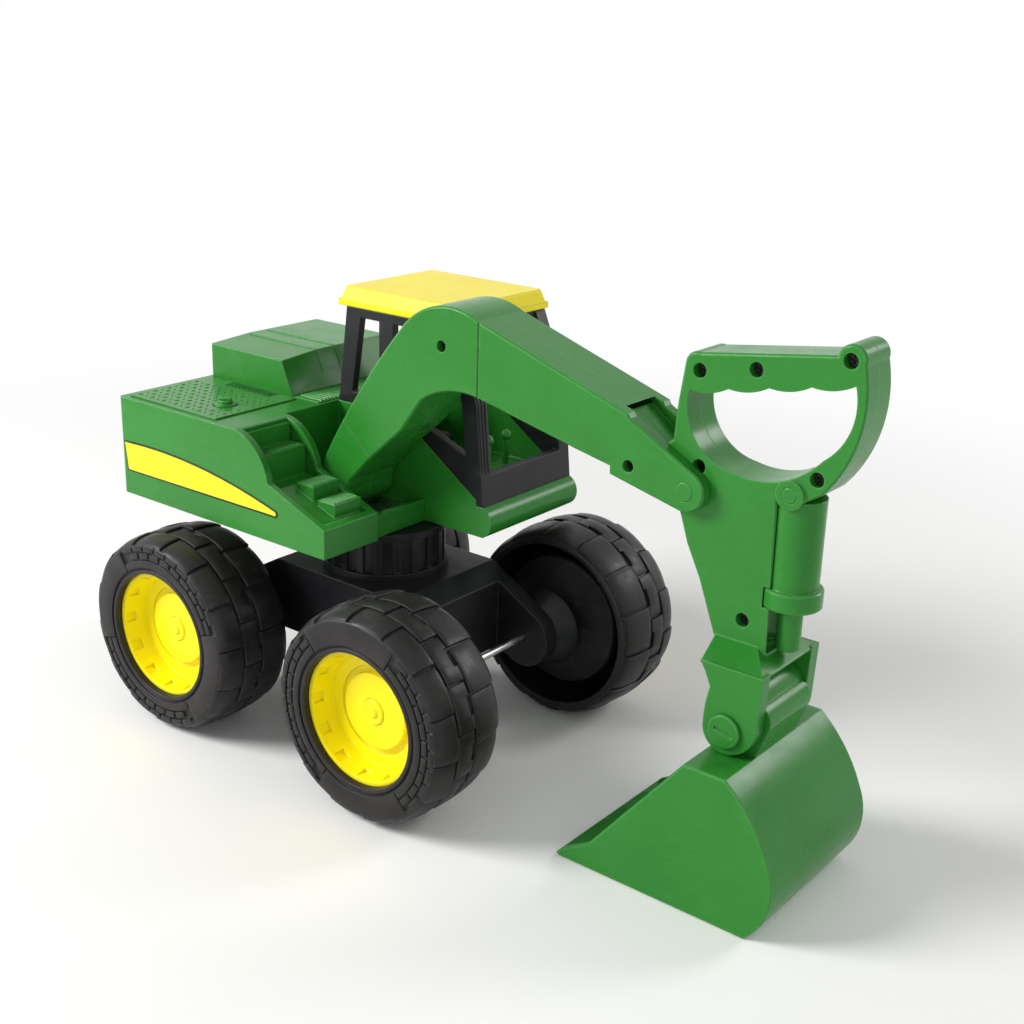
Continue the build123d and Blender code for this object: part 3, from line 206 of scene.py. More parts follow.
def mapped(tree, value, levels, to):
    change = tree.nodes.new("ShaderNodeMapRange")
    change.inputs["From Min"].default_value, change.inputs["From Max"].default_value = levels
    change.inputs["To Min"].default_value, change.inputs["To Max"].default_value = to
    tree.links.new(value, change.inputs["Value"])
    return change.outputs["Result"]


def mixed(tree, amount, a, b):
    mix = tree.nodes.new("ShaderNodeMix")
    mix.data_type = "RGBA"
    tree.links.new(amount, mix.inputs[0])
    for socket, colour in ((mix.inputs[6], a), (mix.inputs[7], b)):
        if isinstance(colour, tuple):
            socket.default_value = (*colour, 1)
        else:
            tree.links.new(colour, socket)
    return mix.outputs[2]


# where each sign of wear and the painted highlight along edges start and where they are full, on their noise or on the
# bevel's turn
wearAndHighlightLevels = {
    "edge": (0.995, 0.90),
    "flow": (0.35, 0.65),
    "scuff": (0.60, 0.78),
    "gloss": (0.30, 0.75),
    "streak": (0.30, 0.70),
}


def mouldedPlastic(name, look):
    finish, tree, shader = startFinish(name)
    coords = tree.nodes.new("ShaderNodeTexCoord").outputs["Object"]
    flow = noiseFrom(tree, coords, look["flowSize"], 3)
    grain = noiseFrom(tree, coords, look["grainSize"], 2)
    scuff = noiseFrom(tree, coords, look["scuffSize"], 5, look["scuffStretch"])
    # rounded moulded edges, with a painted highlight: the colour turns paler along them
    edge = tree.nodes.new("ShaderNodeBevel")
    edge.samples = 4
    edge.inputs["Radius"].default_value = look["edgeRadius"]
    flat = tree.nodes.new("ShaderNodeNewGeometry")
    agree = tree.nodes.new("ShaderNodeVectorMath")
    agree.operation = "DOT_PRODUCT"
    tree.links.new(edge.outputs["Normal"], agree.inputs[0])
    tree.links.new(flat.outputs["Normal"], agree.inputs[1])
    paintedEdgeHighlight = mapped(tree, agree.outputs["Value"], wearAndHighlightLevels["edge"], (0.0, look["edgeHighlightPaint"]))
    body = mixed(tree, mapped(tree, flow, wearAndHighlightLevels["flow"], (0, 1)), look["deep"], look["colour"])
    scuffed = mapped(tree, scuff, wearAndHighlightLevels["scuff"], (0.0, look["scuffed"]))
    worn = mixed(tree, scuffed, body, look["edge"])
    # painted highlight: the base colour turns to the paler edge colour along the edges
    tree.links.new(mixed(tree, paintedEdgeHighlight, worn, look["edge"]), shader.inputs["Base Color"])
    tree.links.new(mapped(tree, scuff, wearAndHighlightLevels["gloss"], look["roughness"]), shader.inputs["Roughness"])
    shader.inputs["Specular IOR Level"].default_value = look["shine"]
    relief = tree.nodes.new("ShaderNodeBump")
    relief.inputs["Strength"].default_value = look["grainStrength"]
    relief.inputs["Distance"].default_value = look["grainDepth"]
    tree.links.new(grain, relief.inputs["Height"])
    tree.links.new(edge.outputs["Normal"], relief.inputs["Normal"])
    tree.links.new(relief.outputs["Normal"], shader.inputs["Normal"])
    return finish


greenLook = {
    "colour": (0.027, 0.222, 0.026),
    "deep": (0.021, 0.196, 0.020),
    # edge: the paler colour of real scuffs and of the painted highlight along edges
    "edge": (0.110, 0.410, 0.110),
    "roughness": (0.20, 0.32),
    "shine": 0.27,
    "flowSize": 0.055,
    "grainSize": 0.0011,
    "grainDepth": 0.00005,
    "grainStrength": 0.35,
    "scuffSize": 0.012,
    "scuffStretch": (1.0, 1.0, 2.2),
    "scuffed": 0.10,
    "edgeRadius": 0.0009,
    "edgeHighlightPaint": 0.75,
}
yellowLook = dict(
    greenLook,
    colour=(0.930, 0.800, 0.003),
    deep=(0.890, 0.730, 0.002),
    edge=(0.950, 0.880, 0.080),
    roughness=(0.28, 0.40),
    edgeHighlightPaint=0.35,
)
blackLook = dict(
    greenLook,
    colour=(0.014, 0.014, 0.016),
    deep=(0.009, 0.009, 0.011),
    edge=(0.075, 0.074, 0.078),
    roughness=(0.34, 0.50),
    grainDepth=0.00008,
    grainStrength=0.5,
    scuffed=0.22,
    edgeHighlightPaint=0.45,
)
tyreLook = dict(
    blackLook,
    colour=(0.019, 0.017, 0.017),
    deep=(0.011, 0.010, 0.010),
    edge=(0.075, 0.070, 0.070),
    roughness=(0.32, 0.52),
    flowSize=0.018,
    grainSize=0.0009,
    grainDepth=0.00010,
    grainStrength=0.6,
    scuffSize=0.008,
    scuffed=0.30,
    edgeRadius=0.0005,
)
vinylLook = dict(
    greenLook,
    colour=(0.930, 0.760, 0.010),
    deep=(0.900, 0.720, 0.008),
    edge=(0.940, 0.820, 0.120),
    roughness=(0.30, 0.42),
    grainDepth=0.00002,
    edgeHighlightPaint=0.1,
    scuffed=0.06,
)
borderLook = dict(
    vinylLook,
    colour=(0.012, 0.012, 0.012),
    deep=(0.008, 0.008, 0.008),
    edge=(0.040, 0.040, 0.040),
)
steelLook = {
    "colour": (0.62, 0.61, 0.59),
    "deep": (0.44, 0.43, 0.42),
    "roughness": (0.22, 0.42),
    "streakSize": 0.004,
    "streakStretch": (9, 0.6, 9),
    "streakDepth": 0.00003,
    "streakStrength": 0.2,
}
# painted shade: screw steel made near-black so that the screws in their recesses read as dark holes
paintedShadeSteelLook = dict(
    steelLook,
    colour=(0.060, 0.058, 0.056),
    deep=(0.020, 0.020, 0.020),
    roughness=(0.38, 0.55),
)


def drawnSteel(name, look):
    finish, tree, shader = startFinish(name)
    coords = tree.nodes.new("ShaderNodeTexCoord").outputs["Object"]
    streak = noiseFrom(tree, coords, look["streakSize"], 4, look["streakStretch"])
    tree.links.new(mixed(tree, streak, look["deep"], look["colour"]), shader.inputs["Base Color"])
    tree.links.new(mapped(tree, streak, wearAndHighlightLevels["streak"], look["roughness"]), shader.inputs["Roughness"])
    shader.inputs["Metallic"].default_value = 1
    relief = tree.nodes.new("ShaderNodeBump")
    relief.inputs["Strength"].default_value = look["streakStrength"]
    relief.inputs["Distance"].default_value = look["streakDepth"]
    tree.links.new(streak, relief.inputs["Height"])
    tree.links.new(relief.outputs["Normal"], shader.inputs["Normal"])
    return finish


greenPlastic = mouldedPlastic("greenPlastic", greenLook)
yellowPlastic = mouldedPlastic("yellowPlastic", yellowLook)
blackPlastic = mouldedPlastic("blackPlastic", blackLook)
tyrePlastic = mouldedPlastic("tyrePlastic", tyreLook)
labelYellow = mouldedPlastic("labelYellow", vinylLook)
labelBorder = mouldedPlastic("labelBorder", borderLook)
zincSteel = drawnSteel("zincSteel", steelLook)
paintedShadeSteel = drawnSteel("paintedShadeSteel", paintedShadeSteelLook)

finishOf = {
    "green_plastic": greenPlastic,
    "yellow_plastic": yellowPlastic,
    "black_plastic": blackPlastic,
    "tyre_plastic": tyrePlastic,
    "steel": zincSteel,
    "sticker": labelYellow,
}
for part in frame["record"]["subparts"]:
    # the screws take the near-black steel, painted shade of their recesses
    finish = paintedShadeSteel if part["node"].endswith("_screws") else finishOf[part["material_slot"]]
    for place in nodes[part["node"]].material_slots:
        place.material = finish
print("digger: finishes given to every CAD node")


# pieces

def makePiece(name, mesh, body, finishes):
    if not mesh.materials:
        for finish in finishes:
            mesh.materials.append(finish)
    piece = bpy.data.objects.new(name, mesh)
    scene.collection.objects.link(piece)
    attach(piece, body)
    return piece


roundSides = 10  # of a rib's or a bead's section


def shadeByAngle(mesh, degreesApart=50):
    mesh.shade_smooth()
    mesh.set_sharp_from_angle(angle=radians(degreesApart))


def joined(name, meshes):
    whole = bmesh.new()
    for mesh in meshes:
        whole.from_mesh(mesh)
    result = bpy.data.meshes.new(name)
    whole.to_mesh(result)
    whole.free()
    return result


def addInputs(tree, inputs):
    tree.interface.new_socket("Geometry", in_out="INPUT", socket_type="NodeSocketGeometry")
    for name, kind in inputs:
        tree.interface.new_socket(name, in_out="INPUT", socket_type=kind)
    tree.interface.new_socket("Geometry", in_out="OUTPUT", socket_type="NodeSocketGeometry")
    return tree.nodes.new("NodeGroupInput").outputs, tree.nodes.new("NodeGroupOutput").inputs


def endTree(tree, shape, finish, out):
    real = tree.nodes.new("GeometryNodeRealizeInstances")
    paint = tree.nodes.new("GeometryNodeSetMaterial")
    tree.links.new(shape, real.inputs["Geometry"])
    tree.links.new(real.outputs["Geometry"], paint.inputs["Geometry"])
    tree.links.new(finish, paint.inputs["Material"])
    tree.links.new(paint.outputs["Geometry"], out["Geometry"])


def grown(name, tree, values):
    # runs a tree on an empty mesh and gives back the plain mesh
    carrier = bpy.data.objects.new(name, bpy.data.meshes.new(name + "Seed"))
    scene.collection.objects.link(carrier)
    step = carrier.modifiers.new(name, "NODES")
    step.node_group = tree
    for socket in tree.interface.items_tree:
        if socket.in_out == "INPUT" and socket.name in values:
            step[socket.identifier] = values[socket.name]
    shown = carrier.evaluated_get(bpy.context.evaluated_depsgraph_get())
    mesh = bpy.data.meshes.new_from_object(shown)
    carrier.modifiers.remove(step)
    bpy.data.objects.remove(carrier)
    return mesh


# tyres: a hollow carcass, three rows of tread blocks, and lugs on the sidewall

tyreLayout = {
    "blocks": 14,
    "blockDepth": 2.0,
    "blockSlope": 0.9,      # each block's trailing end lies this much lower
    "grooveWidth": 1.1,
    "rows": ((30.6, 42.4, 0.0, False), (19.6, 29.8, 0.5, True), (0.8, 18.8, 0.18, False)),
    "slotWidth": 1.9,
    "slotReach": (0.30, 0.72),
    "turns": 168,
    "lugSpread": 54,
    "lugPitch": 11.0,
    "lugGap": 1.1,
    "sidewallDrop": 1.2,
    "sidewallBand": (34.9, 46.0),
    "innerBand": (34.9, 38.4),
    "lugRings": ((39.3, 42.1, 0.0), (43.1, 46.0, 0.5)),
    "lugMargin": 1.0,
    "shoulderStart": 44.6,
    "shoulderSlope": 0.35,
    "blockRounding": 0.28,
    "plateRounding": 0.25,
    "rootOverlap": 0.3,     # how far a block is sunk into the carcass
    "smoothAngle": 34,
    "phase": {"front_left": 14, "front_right": 6, "rear_left": 38, "rear_right": 71},
}
tyreWidth = 43.0
tyreRadius = 50.0
crownPoints = ((0, 46.3), (2.2, 47.9), (5.5, 49.0), (10.5, 49.65), (16.5, 50), (26.5, 50), (32.5, 49.65),
               (37.5, 49.0), (40.8, 47.9), (43, 46.3))


def crownRadius(y):
    for (y0, r0), (y1, r1) in zip(crownPoints, crownPoints[1:]):
        if y <= y1:
            return r0 + (r1 - r0) * (y - y0) / (y1 - y0)
    return crownPoints[-1][1]


def wheelPoint(radius, y, angle):
    return Vector((radius * sin(angle) * mm, y * mm, radius * cos(angle) * mm))


def tyreCarcass(layout):
    wall = tyreWidth - layout["sidewallDrop"]
    rim = [(31.4, 41.8), (31.7, 42.7), (32.4, 43.0), (33.3, 42.9), (34.1, wall), (44.6, wall), (45.7, 41.9)]
    treadLine = (40.8, 37.5, 32.5, 26.5, 21.5, 16.5, 10.5, 5.5, 2.2)
    tread = [(crownRadius(y) - layout["blockDepth"], y) for y in treadLine]
    hollow = [(45.2, 0.6), (44.3, 0.1), (43.2, 0.0), (42.4, 0.3), (42.0, 1.0), (42.2, 2.4), (44.1, 4.4),
              (44.5, 5.6), (44.5, 38.4), (43.5, 39.5), (34.9, 39.5), (33.8, 38.5), (33.8, 9.8), (33.0, 8.8),
              (14.3, 4.2), (13.3, 4.0), (8.2, 4.0), (7.5, 3.3), (7.5, -1.6), (7.0, -2.1), (1.82, -2.1),
              (1.82, 6.4), (13.5, 6.4), (31.4, 11.4)]
    turns = layout["turns"]
    shape = bmesh.new()
    rings = [[shape.verts.new(wheelPoint(r, y, 2 * pi * k / turns)) for k in range(turns)]
             for r, y in rim + tread + hollow]
    for ring, following in zip(rings, rings[1:] + rings[:1]):
        for k in range(turns):
            after = (k + 1) % turns
            shape.faces.new((ring[k], ring[after], following[after], following[k]))
    bmesh.ops.recalc_face_normals(shape, faces=shape.faces)
    mesh = bpy.data.meshes.new("tyreCarcass")
    shape.to_mesh(mesh)
    shape.free()
    return mesh


sharpAngle = 50  # edges that turn more than this are rounded on a block


def curvedBlock(name, uBreaks, vBreaks, filled, place, rounding):
    # a slab of cells over (u, v), bent by place(u, v, level), with its upper edges rounded
    shape = bmesh.new()
    corners = {}

    def corner(i, j, level):
        key = (i, j, level)
        if key not in corners:
            corners[key] = shape.verts.new(place(uBreaks[i], vBreaks[j], level))
        return corners[key]

    cells = [(i, j) for i in range(len(uBreaks) - 1) for j in range(len(vBreaks) - 1) if filled(i, j)]
    for i, j in cells:
        around = ((i, j), (i + 1, j), (i + 1, j + 1), (i, j + 1))
        shape.faces.new([corner(a, b, 1) for a, b in around])
        shape.faces.new([corner(a, b, 0) for a, b in reversed(around)])
        beside = ((i, j - 1), (i + 1, j), (i, j + 1), (i - 1, j))
        for k, other in enumerate(beside):
            if other not in cells:
                a, b = around[k], around[(k + 1) % 4]
                shape.faces.new((corner(*a, 0), corner(*b, 0), corner(*b, 1), corner(*a, 1)))
    bmesh.ops.recalc_face_normals(shape, faces=shape.faces)
    upper = {v for key, v in corners.items() if key[2] == 1}
    sharp = [e for e in shape.edges if e.verts[0] in upper and e.verts[1] in upper
             and len(e.link_faces) == 2 and e.calc_face_angle() > radians(sharpAngle)]
    bmesh.ops.bevel(shape, geom=sharp, offset=rounding * mm, segments=2, profile=0.5, affect="EDGES",
                    clamp_overlap=True)
    mesh = bpy.data.meshes.new(name)
    shape.to_mesh(mesh)
    shape.free()
    return mesh


def treadBlock(layout, low, high, notched):
    pitch = 2 * pi * tyreRadius / layout["blocks"]
    length = pitch - layout["grooveWidth"]
    start, end = (length * share for share in layout["slotReach"])
    uBreaks = sorted([length * k / 6 for k in range(7)] + [start, end])
    vBreaks = [low] + [y for y, _ in crownPoints if low + 0.3 < y < high - 0.3] + [high]
    if notched:
        vBreaks = [low, low + layout["slotWidth"]] + [y for y in vBreaks if y > low + layout["slotWidth"]]

    def filled(i, j):
        inSlot = notched and j == 0 and start - 0.01 <= uBreaks[i] < end - 0.01
        return not inSlot

    def place(u, v, level):
        root = layout["blockDepth"] + layout["rootOverlap"]
        drop = layout["blockSlope"] * (u / length) ** 2 if level else root
        return wheelPoint(crownRadius(v) - drop, v, u / tyreRadius)

    return curvedBlock("treadBlock", uBreaks, vBreaks, filled, place, layout["blockRounding"])


def sidewallPlate(layout, inner, outer, fromAngle, toAngle):
    shoulder = layout["shoulderStart"]
    steps = max(1, round((toAngle - fromAngle) / 3))
    uBreaks = [fromAngle + (toAngle - fromAngle) * k / steps for k in range(steps + 1)]

    def place(u, v, level):
        slope = max(0, v - shoulder) * layout["shoulderSlope"] * level
        return wheelPoint(v, tyreWidth - (0 if level else layout["sidewallDrop"] + 0.2) - slope, radians(u))

    vBreaks = [inner, shoulder, outer] if inner < shoulder < outer else [inner, outer]
    return curvedBlock("sidewallPlate", uBreaks, vBreaks, lambda i, j: True, place, layout["plateRounding"])


def sidewallPlates(layout):
    spread, pitch = layout["lugSpread"], layout["lugPitch"]
    lugs = spread - layout["lugMargin"]
    plates = []
    for middle in (0, 180):  # smooth above and below
        smooth = 90 - spread
        plates.append(sidewallPlate(layout, *layout["sidewallBand"], middle - smooth, middle + smooth))
    for middle in (90, 270):  # lugs to either side
        plates.append(sidewallPlate(layout, *layout["innerBand"], middle - lugs, middle + lugs))
        for inner, outer, shift in layout["lugRings"]:
            gapAngle = layout["lugGap"] / inner * 180 / pi
            count = int(2 * lugs / pitch - shift)
            for k in range(count):
                begin = middle - lugs + (k + shift) * pitch
                plates.append(sidewallPlate(layout, inner, outer, begin, begin + pitch - gapAngle))
    return plates


def treadRingTree():
    tree = bpy.data.node_groups.new("treadRing", "GeometryNodeTree")
    given, out = addInputs(tree, (("Block", "NodeSocketObject"), ("Count", "NodeSocketInt"),
                                  ("Shift", "NodeSocketFloat"), ("Finish", "NodeSocketMaterial")))
    points = tree.nodes.new("GeometryNodeMeshLine")
    points.inputs["Offset"].default_value = (0, 0, 0)
    tree.links.new(given["Count"], points.inputs["Count"])
    step = tree.nodes.new("ShaderNodeMath")
    step.operation = "DIVIDE"
    step.inputs[0].default_value = 2 * pi
    tree.links.new(given["Count"], step.inputs[1])
    order = tree.nodes.new("ShaderNodeMath")
    order.operation = "ADD"
    tree.links.new(tree.nodes.new("GeometryNodeInputIndex").outputs["Index"], order.inputs[0])
    tree.links.new(given["Shift"], order.inputs[1])
    angle = tree.nodes.new("ShaderNodeMath")
    angle.operation = "MULTIPLY"
    tree.links.new(order.outputs[0], angle.inputs[0])
    tree.links.new(step.outputs[0], angle.inputs[1])
    spin = tree.nodes.new("ShaderNodeCombineXYZ")
    tree.links.new(angle.outputs[0], spin.inputs["Y"])
    turn = tree.nodes.new("FunctionNodeEulerToRotation")
    tree.links.new(spin.outputs[0], turn.inputs[0])
    block = tree.nodes.new("GeometryNodeObjectInfo")
    tree.links.new(given["Block"], block.inputs["Object"])
    place = tree.nodes.new("GeometryNodeInstanceOnPoints")
    tree.links.new(points.outputs["Mesh"], place.inputs["Points"])
    tree.links.new(block.outputs["Geometry"], place.inputs["Instance"])
    tree.links.new(turn.outputs[0], place.inputs["Rotation"])
    endTree(tree, place.outputs["Instances"], given["Finish"], out)
    return tree


def makeTyres(layout):
    ring = treadRingTree()
    meshes = [tyreCarcass(layout), *sidewallPlates(layout)]
    for low, high, shift, notched in layout["rows"]:
        block = bpy.data.objects.new("treadBlock", treadBlock(layout, low, high, notched))
        scene.collection.objects.link(block)
        meshes.append(grown("treadRow", ring, {"Block": block, "Count": layout["blocks"], "Shift": shift,
                                               "Finish": tyrePlastic}))
        bpy.data.objects.remove(block)
    whole = joined("tyre", meshes)
    for corner, phase in layout["phase"].items():
        low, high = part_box("tyre_" + corner)
        middle = (low + high) / 2
        side = 1 if middle.y > 0 else -1
        innerFace = (high.y if side > 0 else -low.y) - tyreWidth * mm
        mesh = whole.copy()
        mesh.transform(Matrix.Rotation(radians(phase), 4, "Y"))
        if side < 0:
            mesh.transform(Matrix.Rotation(pi, 4, "Z"))
        mesh.transform(Matrix.Translation((middle.x, side * innerFace, middle.z)))
        shadeByAngle(mesh, layout["smoothAngle"])
        name = corner.split("_")
        tyre = makePiece("tyre" + name[0].title() + name[1].title(), mesh, "wheel_" + corner,
                         [tyrePlastic])
        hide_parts("tyre_" + corner)


makeTyres(tyreLayout)
print("digger: tyres moulded")


# ribs and studs on the deck and the steps

ribSets = {
    "hoodFootRibs": {"start": (-96, -18, 157.35), "pitch": (2.4, 0, 0), "reach": (0, 7.2, 0), "count": 14,
                     "radius": 0.55},
    "treadRibs": {"start": (-29.6, -60.2, 145.5), "pitch": (0, 1.95, 0), "reach": (8.8, 0, 0), "count": 13,
                  "radius": 0.5},
    "upperStepRibs": {"start": (-7.4, -50.4, 133.0), "pitch": (0, 1.83, 0), "reach": (9.0, 0, 0), "count": 9,
                      "radius": 0.5},
    "lowerStepRibs": {"start": (6.6, -50.4, 127.5), "pitch": (0, 1.83, 0), "reach": (9.0, 0, 0), "count": 9,
                      "radius": 0.5},
}


def ribRowTree():
    tree = bpy.data.node_groups.new("ribRow", "GeometryNodeTree")
    given, out = addInputs(tree, (("Start", "NodeSocketVector"), ("Pitch", "NodeSocketVector"),
                                  ("Reach", "NodeSocketVector"), ("Count", "NodeSocketInt"),
                                  ("Radius", "NodeSocketFloat"), ("Finish", "NodeSocketMaterial")))
    row = tree.nodes.new("GeometryNodeMeshLine")
    tree.links.new(given["Count"], row.inputs["Count"])
    tree.links.new(given["Start"], row.inputs["Start Location"])
    tree.links.new(given["Pitch"], row.inputs["Offset"])
    line = tree.nodes.new("GeometryNodeCurvePrimitiveLine")
    tree.links.new(given["Reach"], line.inputs["End"])
    section = tree.nodes.new("GeometryNodeCurvePrimitiveCircle")
    section.inputs["Resolution"].default_value = roundSides
    tree.links.new(given["Radius"], section.inputs["Radius"])
    sweep = tree.nodes.new("GeometryNodeCurveToMesh")
    sweep.inputs["Fill Caps"].default_value = True
    tree.links.new(line.outputs["Curve"], sweep.inputs["Curve"])
    tree.links.new(section.outputs["Curve"], sweep.inputs["Profile Curve"])
    place = tree.nodes.new("GeometryNodeInstanceOnPoints")
    tree.links.new(row.outputs["Mesh"], place.inputs["Points"])
    tree.links.new(sweep.outputs["Mesh"], place.inputs["Instance"])
    endTree(tree, place.outputs["Instances"], given["Finish"], out)
    return tree


def makeRibs(sets):
    tree = ribRowTree()
    for name, rib in sets.items():
        values = {key.title(): tuple(c * mm for c in rib[key]) for key in ("start", "pitch", "reach")}
        values.update(Count=rib["count"], Radius=rib["radius"] * mm, Finish=greenPlastic)
        mesh = grown(name, tree, values)
        shadeByAngle(mesh)
        makePiece(name, mesh, "house", [greenPlastic])


studLayout = {
    "pitch": 4.4,
    "margin": 3.0,
    "size": (1.35, 0.5, 0.38),
    "sides": (8, 6),        # around and along a stud
    "clearOfRibs": 9.0,
    "clearOfCap": 2.7,
}


def studFieldTree(sides):
    tree = bpy.data.node_groups.new("studField", "GeometryNodeTree")
    given, out = addInputs(tree, (("Middle", "NodeSocketVector"), ("Size X", "NodeSocketFloat"),
                                  ("Size Y", "NodeSocketFloat"), ("Count X", "NodeSocketInt"),
                                  ("Count Y", "NodeSocketInt"), ("Stud Size", "NodeSocketVector"),
                                  ("Finish", "NodeSocketMaterial")))
    grid = tree.nodes.new("GeometryNodeMeshGrid")
    for socket, name in (("Size X", "Size X"), ("Size Y", "Size Y"), ("Vertices X", "Count X"),
                         ("Vertices Y", "Count Y")):
        tree.links.new(given[name], grid.inputs[socket])
    stud = tree.nodes.new("GeometryNodeMeshUVSphere")
    stud.inputs["Segments"].default_value, stud.inputs["Rings"].default_value = sides
    stud.inputs["Radius"].default_value = 1
    odd = tree.nodes.new("ShaderNodeMath")
    odd.operation = "MODULO"
    odd.inputs[1].default_value = 2
    tree.links.new(tree.nodes.new("GeometryNodeInputIndex").outputs["Index"], odd.inputs[0])
    lean = tree.nodes.new("ShaderNodeMath")
    lean.operation = "MULTIPLY_ADD"
    lean.inputs[1].default_value = pi / 2
    lean.inputs[2].default_value = pi / 4
    tree.links.new(odd.outputs[0], lean.inputs[0])
    spin = tree.nodes.new("ShaderNodeCombineXYZ")
    tree.links.new(lean.outputs[0], spin.inputs["Z"])
    turn = tree.nodes.new("FunctionNodeEulerToRotation")
    tree.links.new(spin.outputs[0], turn.inputs[0])
    place = tree.nodes.new("GeometryNodeInstanceOnPoints")
    tree.links.new(grid.outputs["Mesh"], place.inputs["Points"])
    tree.links.new(stud.outputs["Mesh"], place.inputs["Instance"])
    tree.links.new(turn.outputs[0], place.inputs["Rotation"])
    tree.links.new(given["Stud Size"], place.inputs["Scale"])
    shift = tree.nodes.new("GeometryNodeTransform")
    tree.links.new(place.outputs["Instances"], shift.inputs["Geometry"])
    tree.links.new(given["Middle"], shift.inputs["Translation"])
    endTree(tree, shift.outputs["Geometry"], given["Finish"], out)
    return tree


def makeStuds(layout):
    low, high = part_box("deck_plate")
    margin, pitch = layout["margin"] * mm, layout["pitch"] * mm
    reachX = high.x - low.x - 2 * margin
    reachY = high.y - low.y - 2 * margin - layout["clearOfRibs"] * mm
    countX = int(reachX / pitch) + 1
    countY = int(reachY / pitch) // 2 * 2 + 1  # odd, so that neighbours lean opposite ways
    middle = (low.x + margin + reachX / 2, low.y + margin + reachY / 2, high.z)
    mesh = grown("deckStuds", studFieldTree(layout["sides"]), {
        "Middle": middle, "Size X": (countX - 1) * pitch, "Size Y": (countY - 1) * pitch,
        "Count X": countX, "Count Y": countY, "Stud Size": tuple(c * mm for c in layout["size"]),
        "Finish": greenPlastic})
    capLow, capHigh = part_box("filler_cap")
    cap, reach = (capLow + capHigh) / 2, (capHigh.x - capLow.x) / 2 + layout["clearOfCap"] * mm
    shape = bmesh.new()
    shape.from_mesh(mesh)
    waiting = [v for v in shape.verts if (v.co.xy - cap.xy).length < reach]
    linked = set(waiting)
    while waiting:  # whole studs go, not halves
        for edge in waiting.pop().link_edges:
            for vert in edge.verts:
                if vert not in linked:
                    linked.add(vert)
                    waiting.append(vert)
    bmesh.ops.delete(shape, geom=list(linked), context="VERTS")
    shape.to_mesh(mesh)
    shape.free()
    shadeByAngle(mesh, 60)
    makePiece("deckStuds", mesh, "house", [greenPlastic])


makeRibs(ribSets)
makeStuds(studLayout)
print("digger: ribs and studs set on the deck and steps")


# raised beads that follow a panel, found by looking at it along one direction

beadSets = {
    "hoodBeads": {"node": "engine_hood", "look": (0, 0, -1), "from": (-117.5, 18, 260), "to": (-61, 18, 260),
                  "step": (0, 13, 0), "count": 2, "radius": 0.55, "slot": "green_plastic"},
    "cabPostRibs": {"node": "cab_frame", "look": (-1, 0, 0), "from": (200, 6.4, 137), "to": (200, 6.4, 199),
                    "step": (0, 2.2, 0), "count": 3, "radius": 0.5, "slot": "black_plastic"},
}
beadSteps = 40
beadTip = 0.35  # a bead's ends are this share of its radius


def beadPath(node, look, start, end):
    target = nodes[node]
    way = Vector(look)
    points = []
    for k in range(beadSteps + 1):
        hit, place, normal, face = target.ray_cast(start.lerp(end, k / beadSteps), way)
        if hit:
            points.append((place, normal))
    return points


def beadMesh(paths, radius):
    shape = bmesh.new()
    for path in paths:
        rings = []
        for k, (place, normal) in enumerate(path):
            along = (path[min(k + 1, len(path) - 1)][0] - path[max(k - 1, 0)][0]).normalized()
            across = along.cross(normal).normalized()
            taper = beadTip if k in (0, len(path) - 1) else 1
            rings.append([shape.verts.new(place + taper * radius * (across * cos(a) + normal * sin(a)))
                          for a in (2 * pi * j / roundSides for j in range(roundSides))])
        for ring, following in zip(rings, rings[1:]):
            for j in range(roundSides):
                after = (j + 1) % roundSides
                shape.faces.new((ring[j], ring[after], following[after], following[j]))
        shape.faces.new(rings[0])
        shape.faces.new(rings[-1])
    bmesh.ops.recalc_face_normals(shape, faces=shape.faces)
    mesh = bpy.data.meshes.new("bead")
    shape.to_mesh(mesh)
    shape.free()
    return mesh


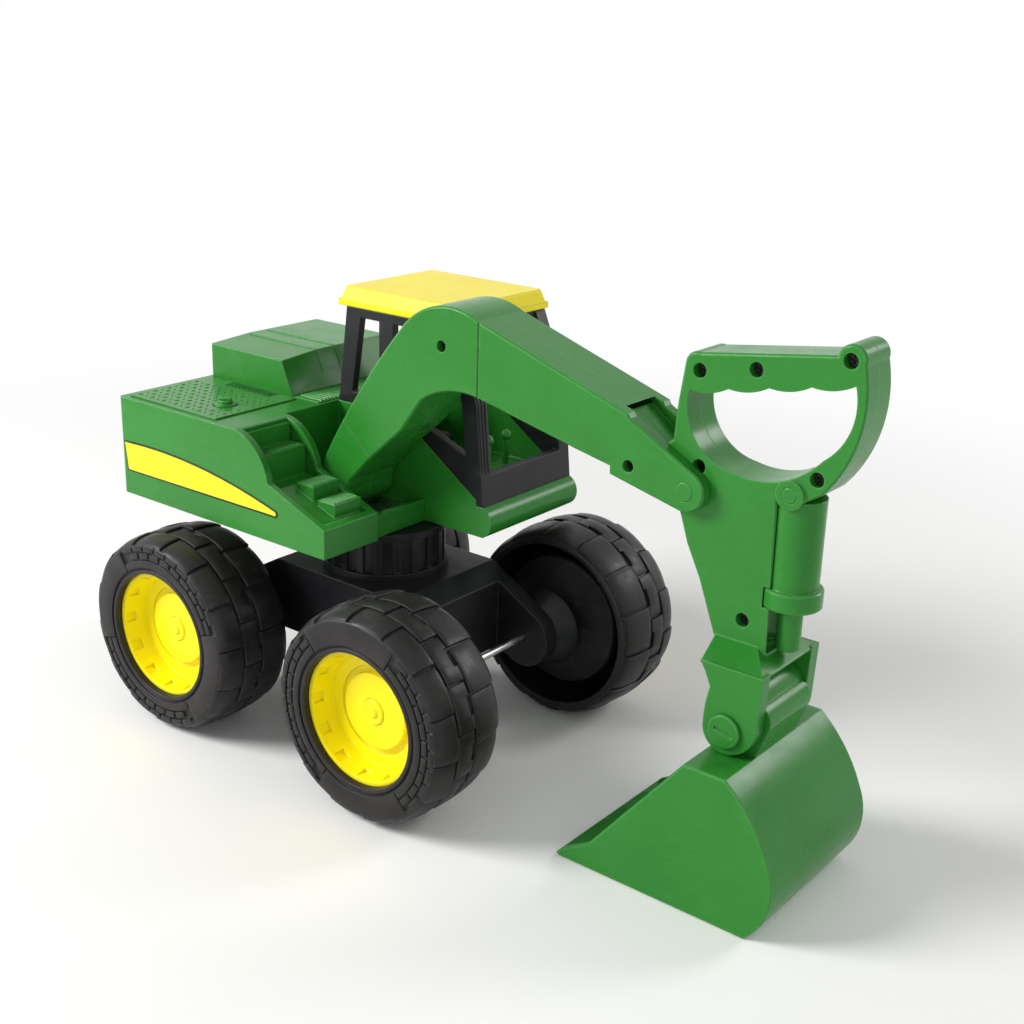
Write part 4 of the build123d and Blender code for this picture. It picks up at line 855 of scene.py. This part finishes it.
def makeBeads(sets):
    for name, bead in sets.items():
        start, end, step = (Vector(bead[key]) * mm for key in ("from", "to", "step"))
        paths = [beadPath(bead["node"], bead["look"], start + k * step, end + k * step)
                 for k in range(bead["count"])]
        mesh = beadMesh(paths, bead["radius"] * mm)
        shadeByAngle(mesh)
        makePiece(name, mesh, "house", [finishOf[bead["slot"]]])


# the grip bar across the filler cap

capGrip = {"length": 7.0, "width": 1.7, "height": 1.5, "lift": 0.45, "rounding": 0.6, "turn": 25}


def makeCapGrip(look):
    low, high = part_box("filler_cap")
    shape = bmesh.new()
    bmesh.ops.create_cube(shape, size=1)
    size = Vector((look["length"], look["width"], look["height"])) * mm
    bmesh.ops.scale(shape, vec=size, verts=shape.verts)
    bmesh.ops.bevel(shape, geom=shape.edges[:], offset=look["rounding"] * mm, segments=3, profile=0.5,
                    affect="EDGES", clamp_overlap=True)
    mesh = bpy.data.meshes.new("capGrip")
    shape.to_mesh(mesh)
    shape.free()
    mesh.transform(Matrix.Rotation(radians(look["turn"]), 4, "Z"))
    middle = (low + high) / 2
    mesh.transform(Matrix.Translation((middle.x, middle.y, high.z + look["lift"] * mm)))
    shadeByAngle(mesh)
    makePiece("capGrip", mesh, "house", [greenPlastic])


makeBeads(beadSets)
makeCapGrip(capGrip)
print("digger: beads, post ribs and the cap's grip added")


# side labels: a bare yellow field with a thin black border

labelLayout = {"border": 0.9}


def makeLabel(node, layout):
    shape = bmesh.new()
    shape.from_mesh(nodes[node].data)
    bmesh.ops.remove_doubles(shape, verts=shape.verts, dist=1e-6)
    low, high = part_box(node)
    outward = 1 if (low.y + high.y) > 0 else -1
    bmesh.ops.dissolve_limit(shape, angle_limit=radians(1), verts=shape.verts, edges=shape.edges)
    front = max(shape.faces, key=lambda f: f.normal.y * outward * f.calc_area())
    for face in shape.faces:
        face.material_index = 1
    bmesh.ops.inset_individual(shape, faces=[front], thickness=layout["border"] * mm, depth=0)
    front.material_index = 0
    bmesh.ops.triangulate(shape, faces=[f for f in shape.faces if len(f.verts) > 4])
    mesh = bpy.data.meshes.new(node)
    shape.to_mesh(mesh)
    shape.free()
    side = node.split("_")[1]
    label = makePiece("label" + side.title(), mesh, "house", [labelYellow, labelBorder])
    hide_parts(node)


for node in ("sticker_right", "sticker_left"):
    makeLabel(node, labelLayout)
print("digger: labels laid")
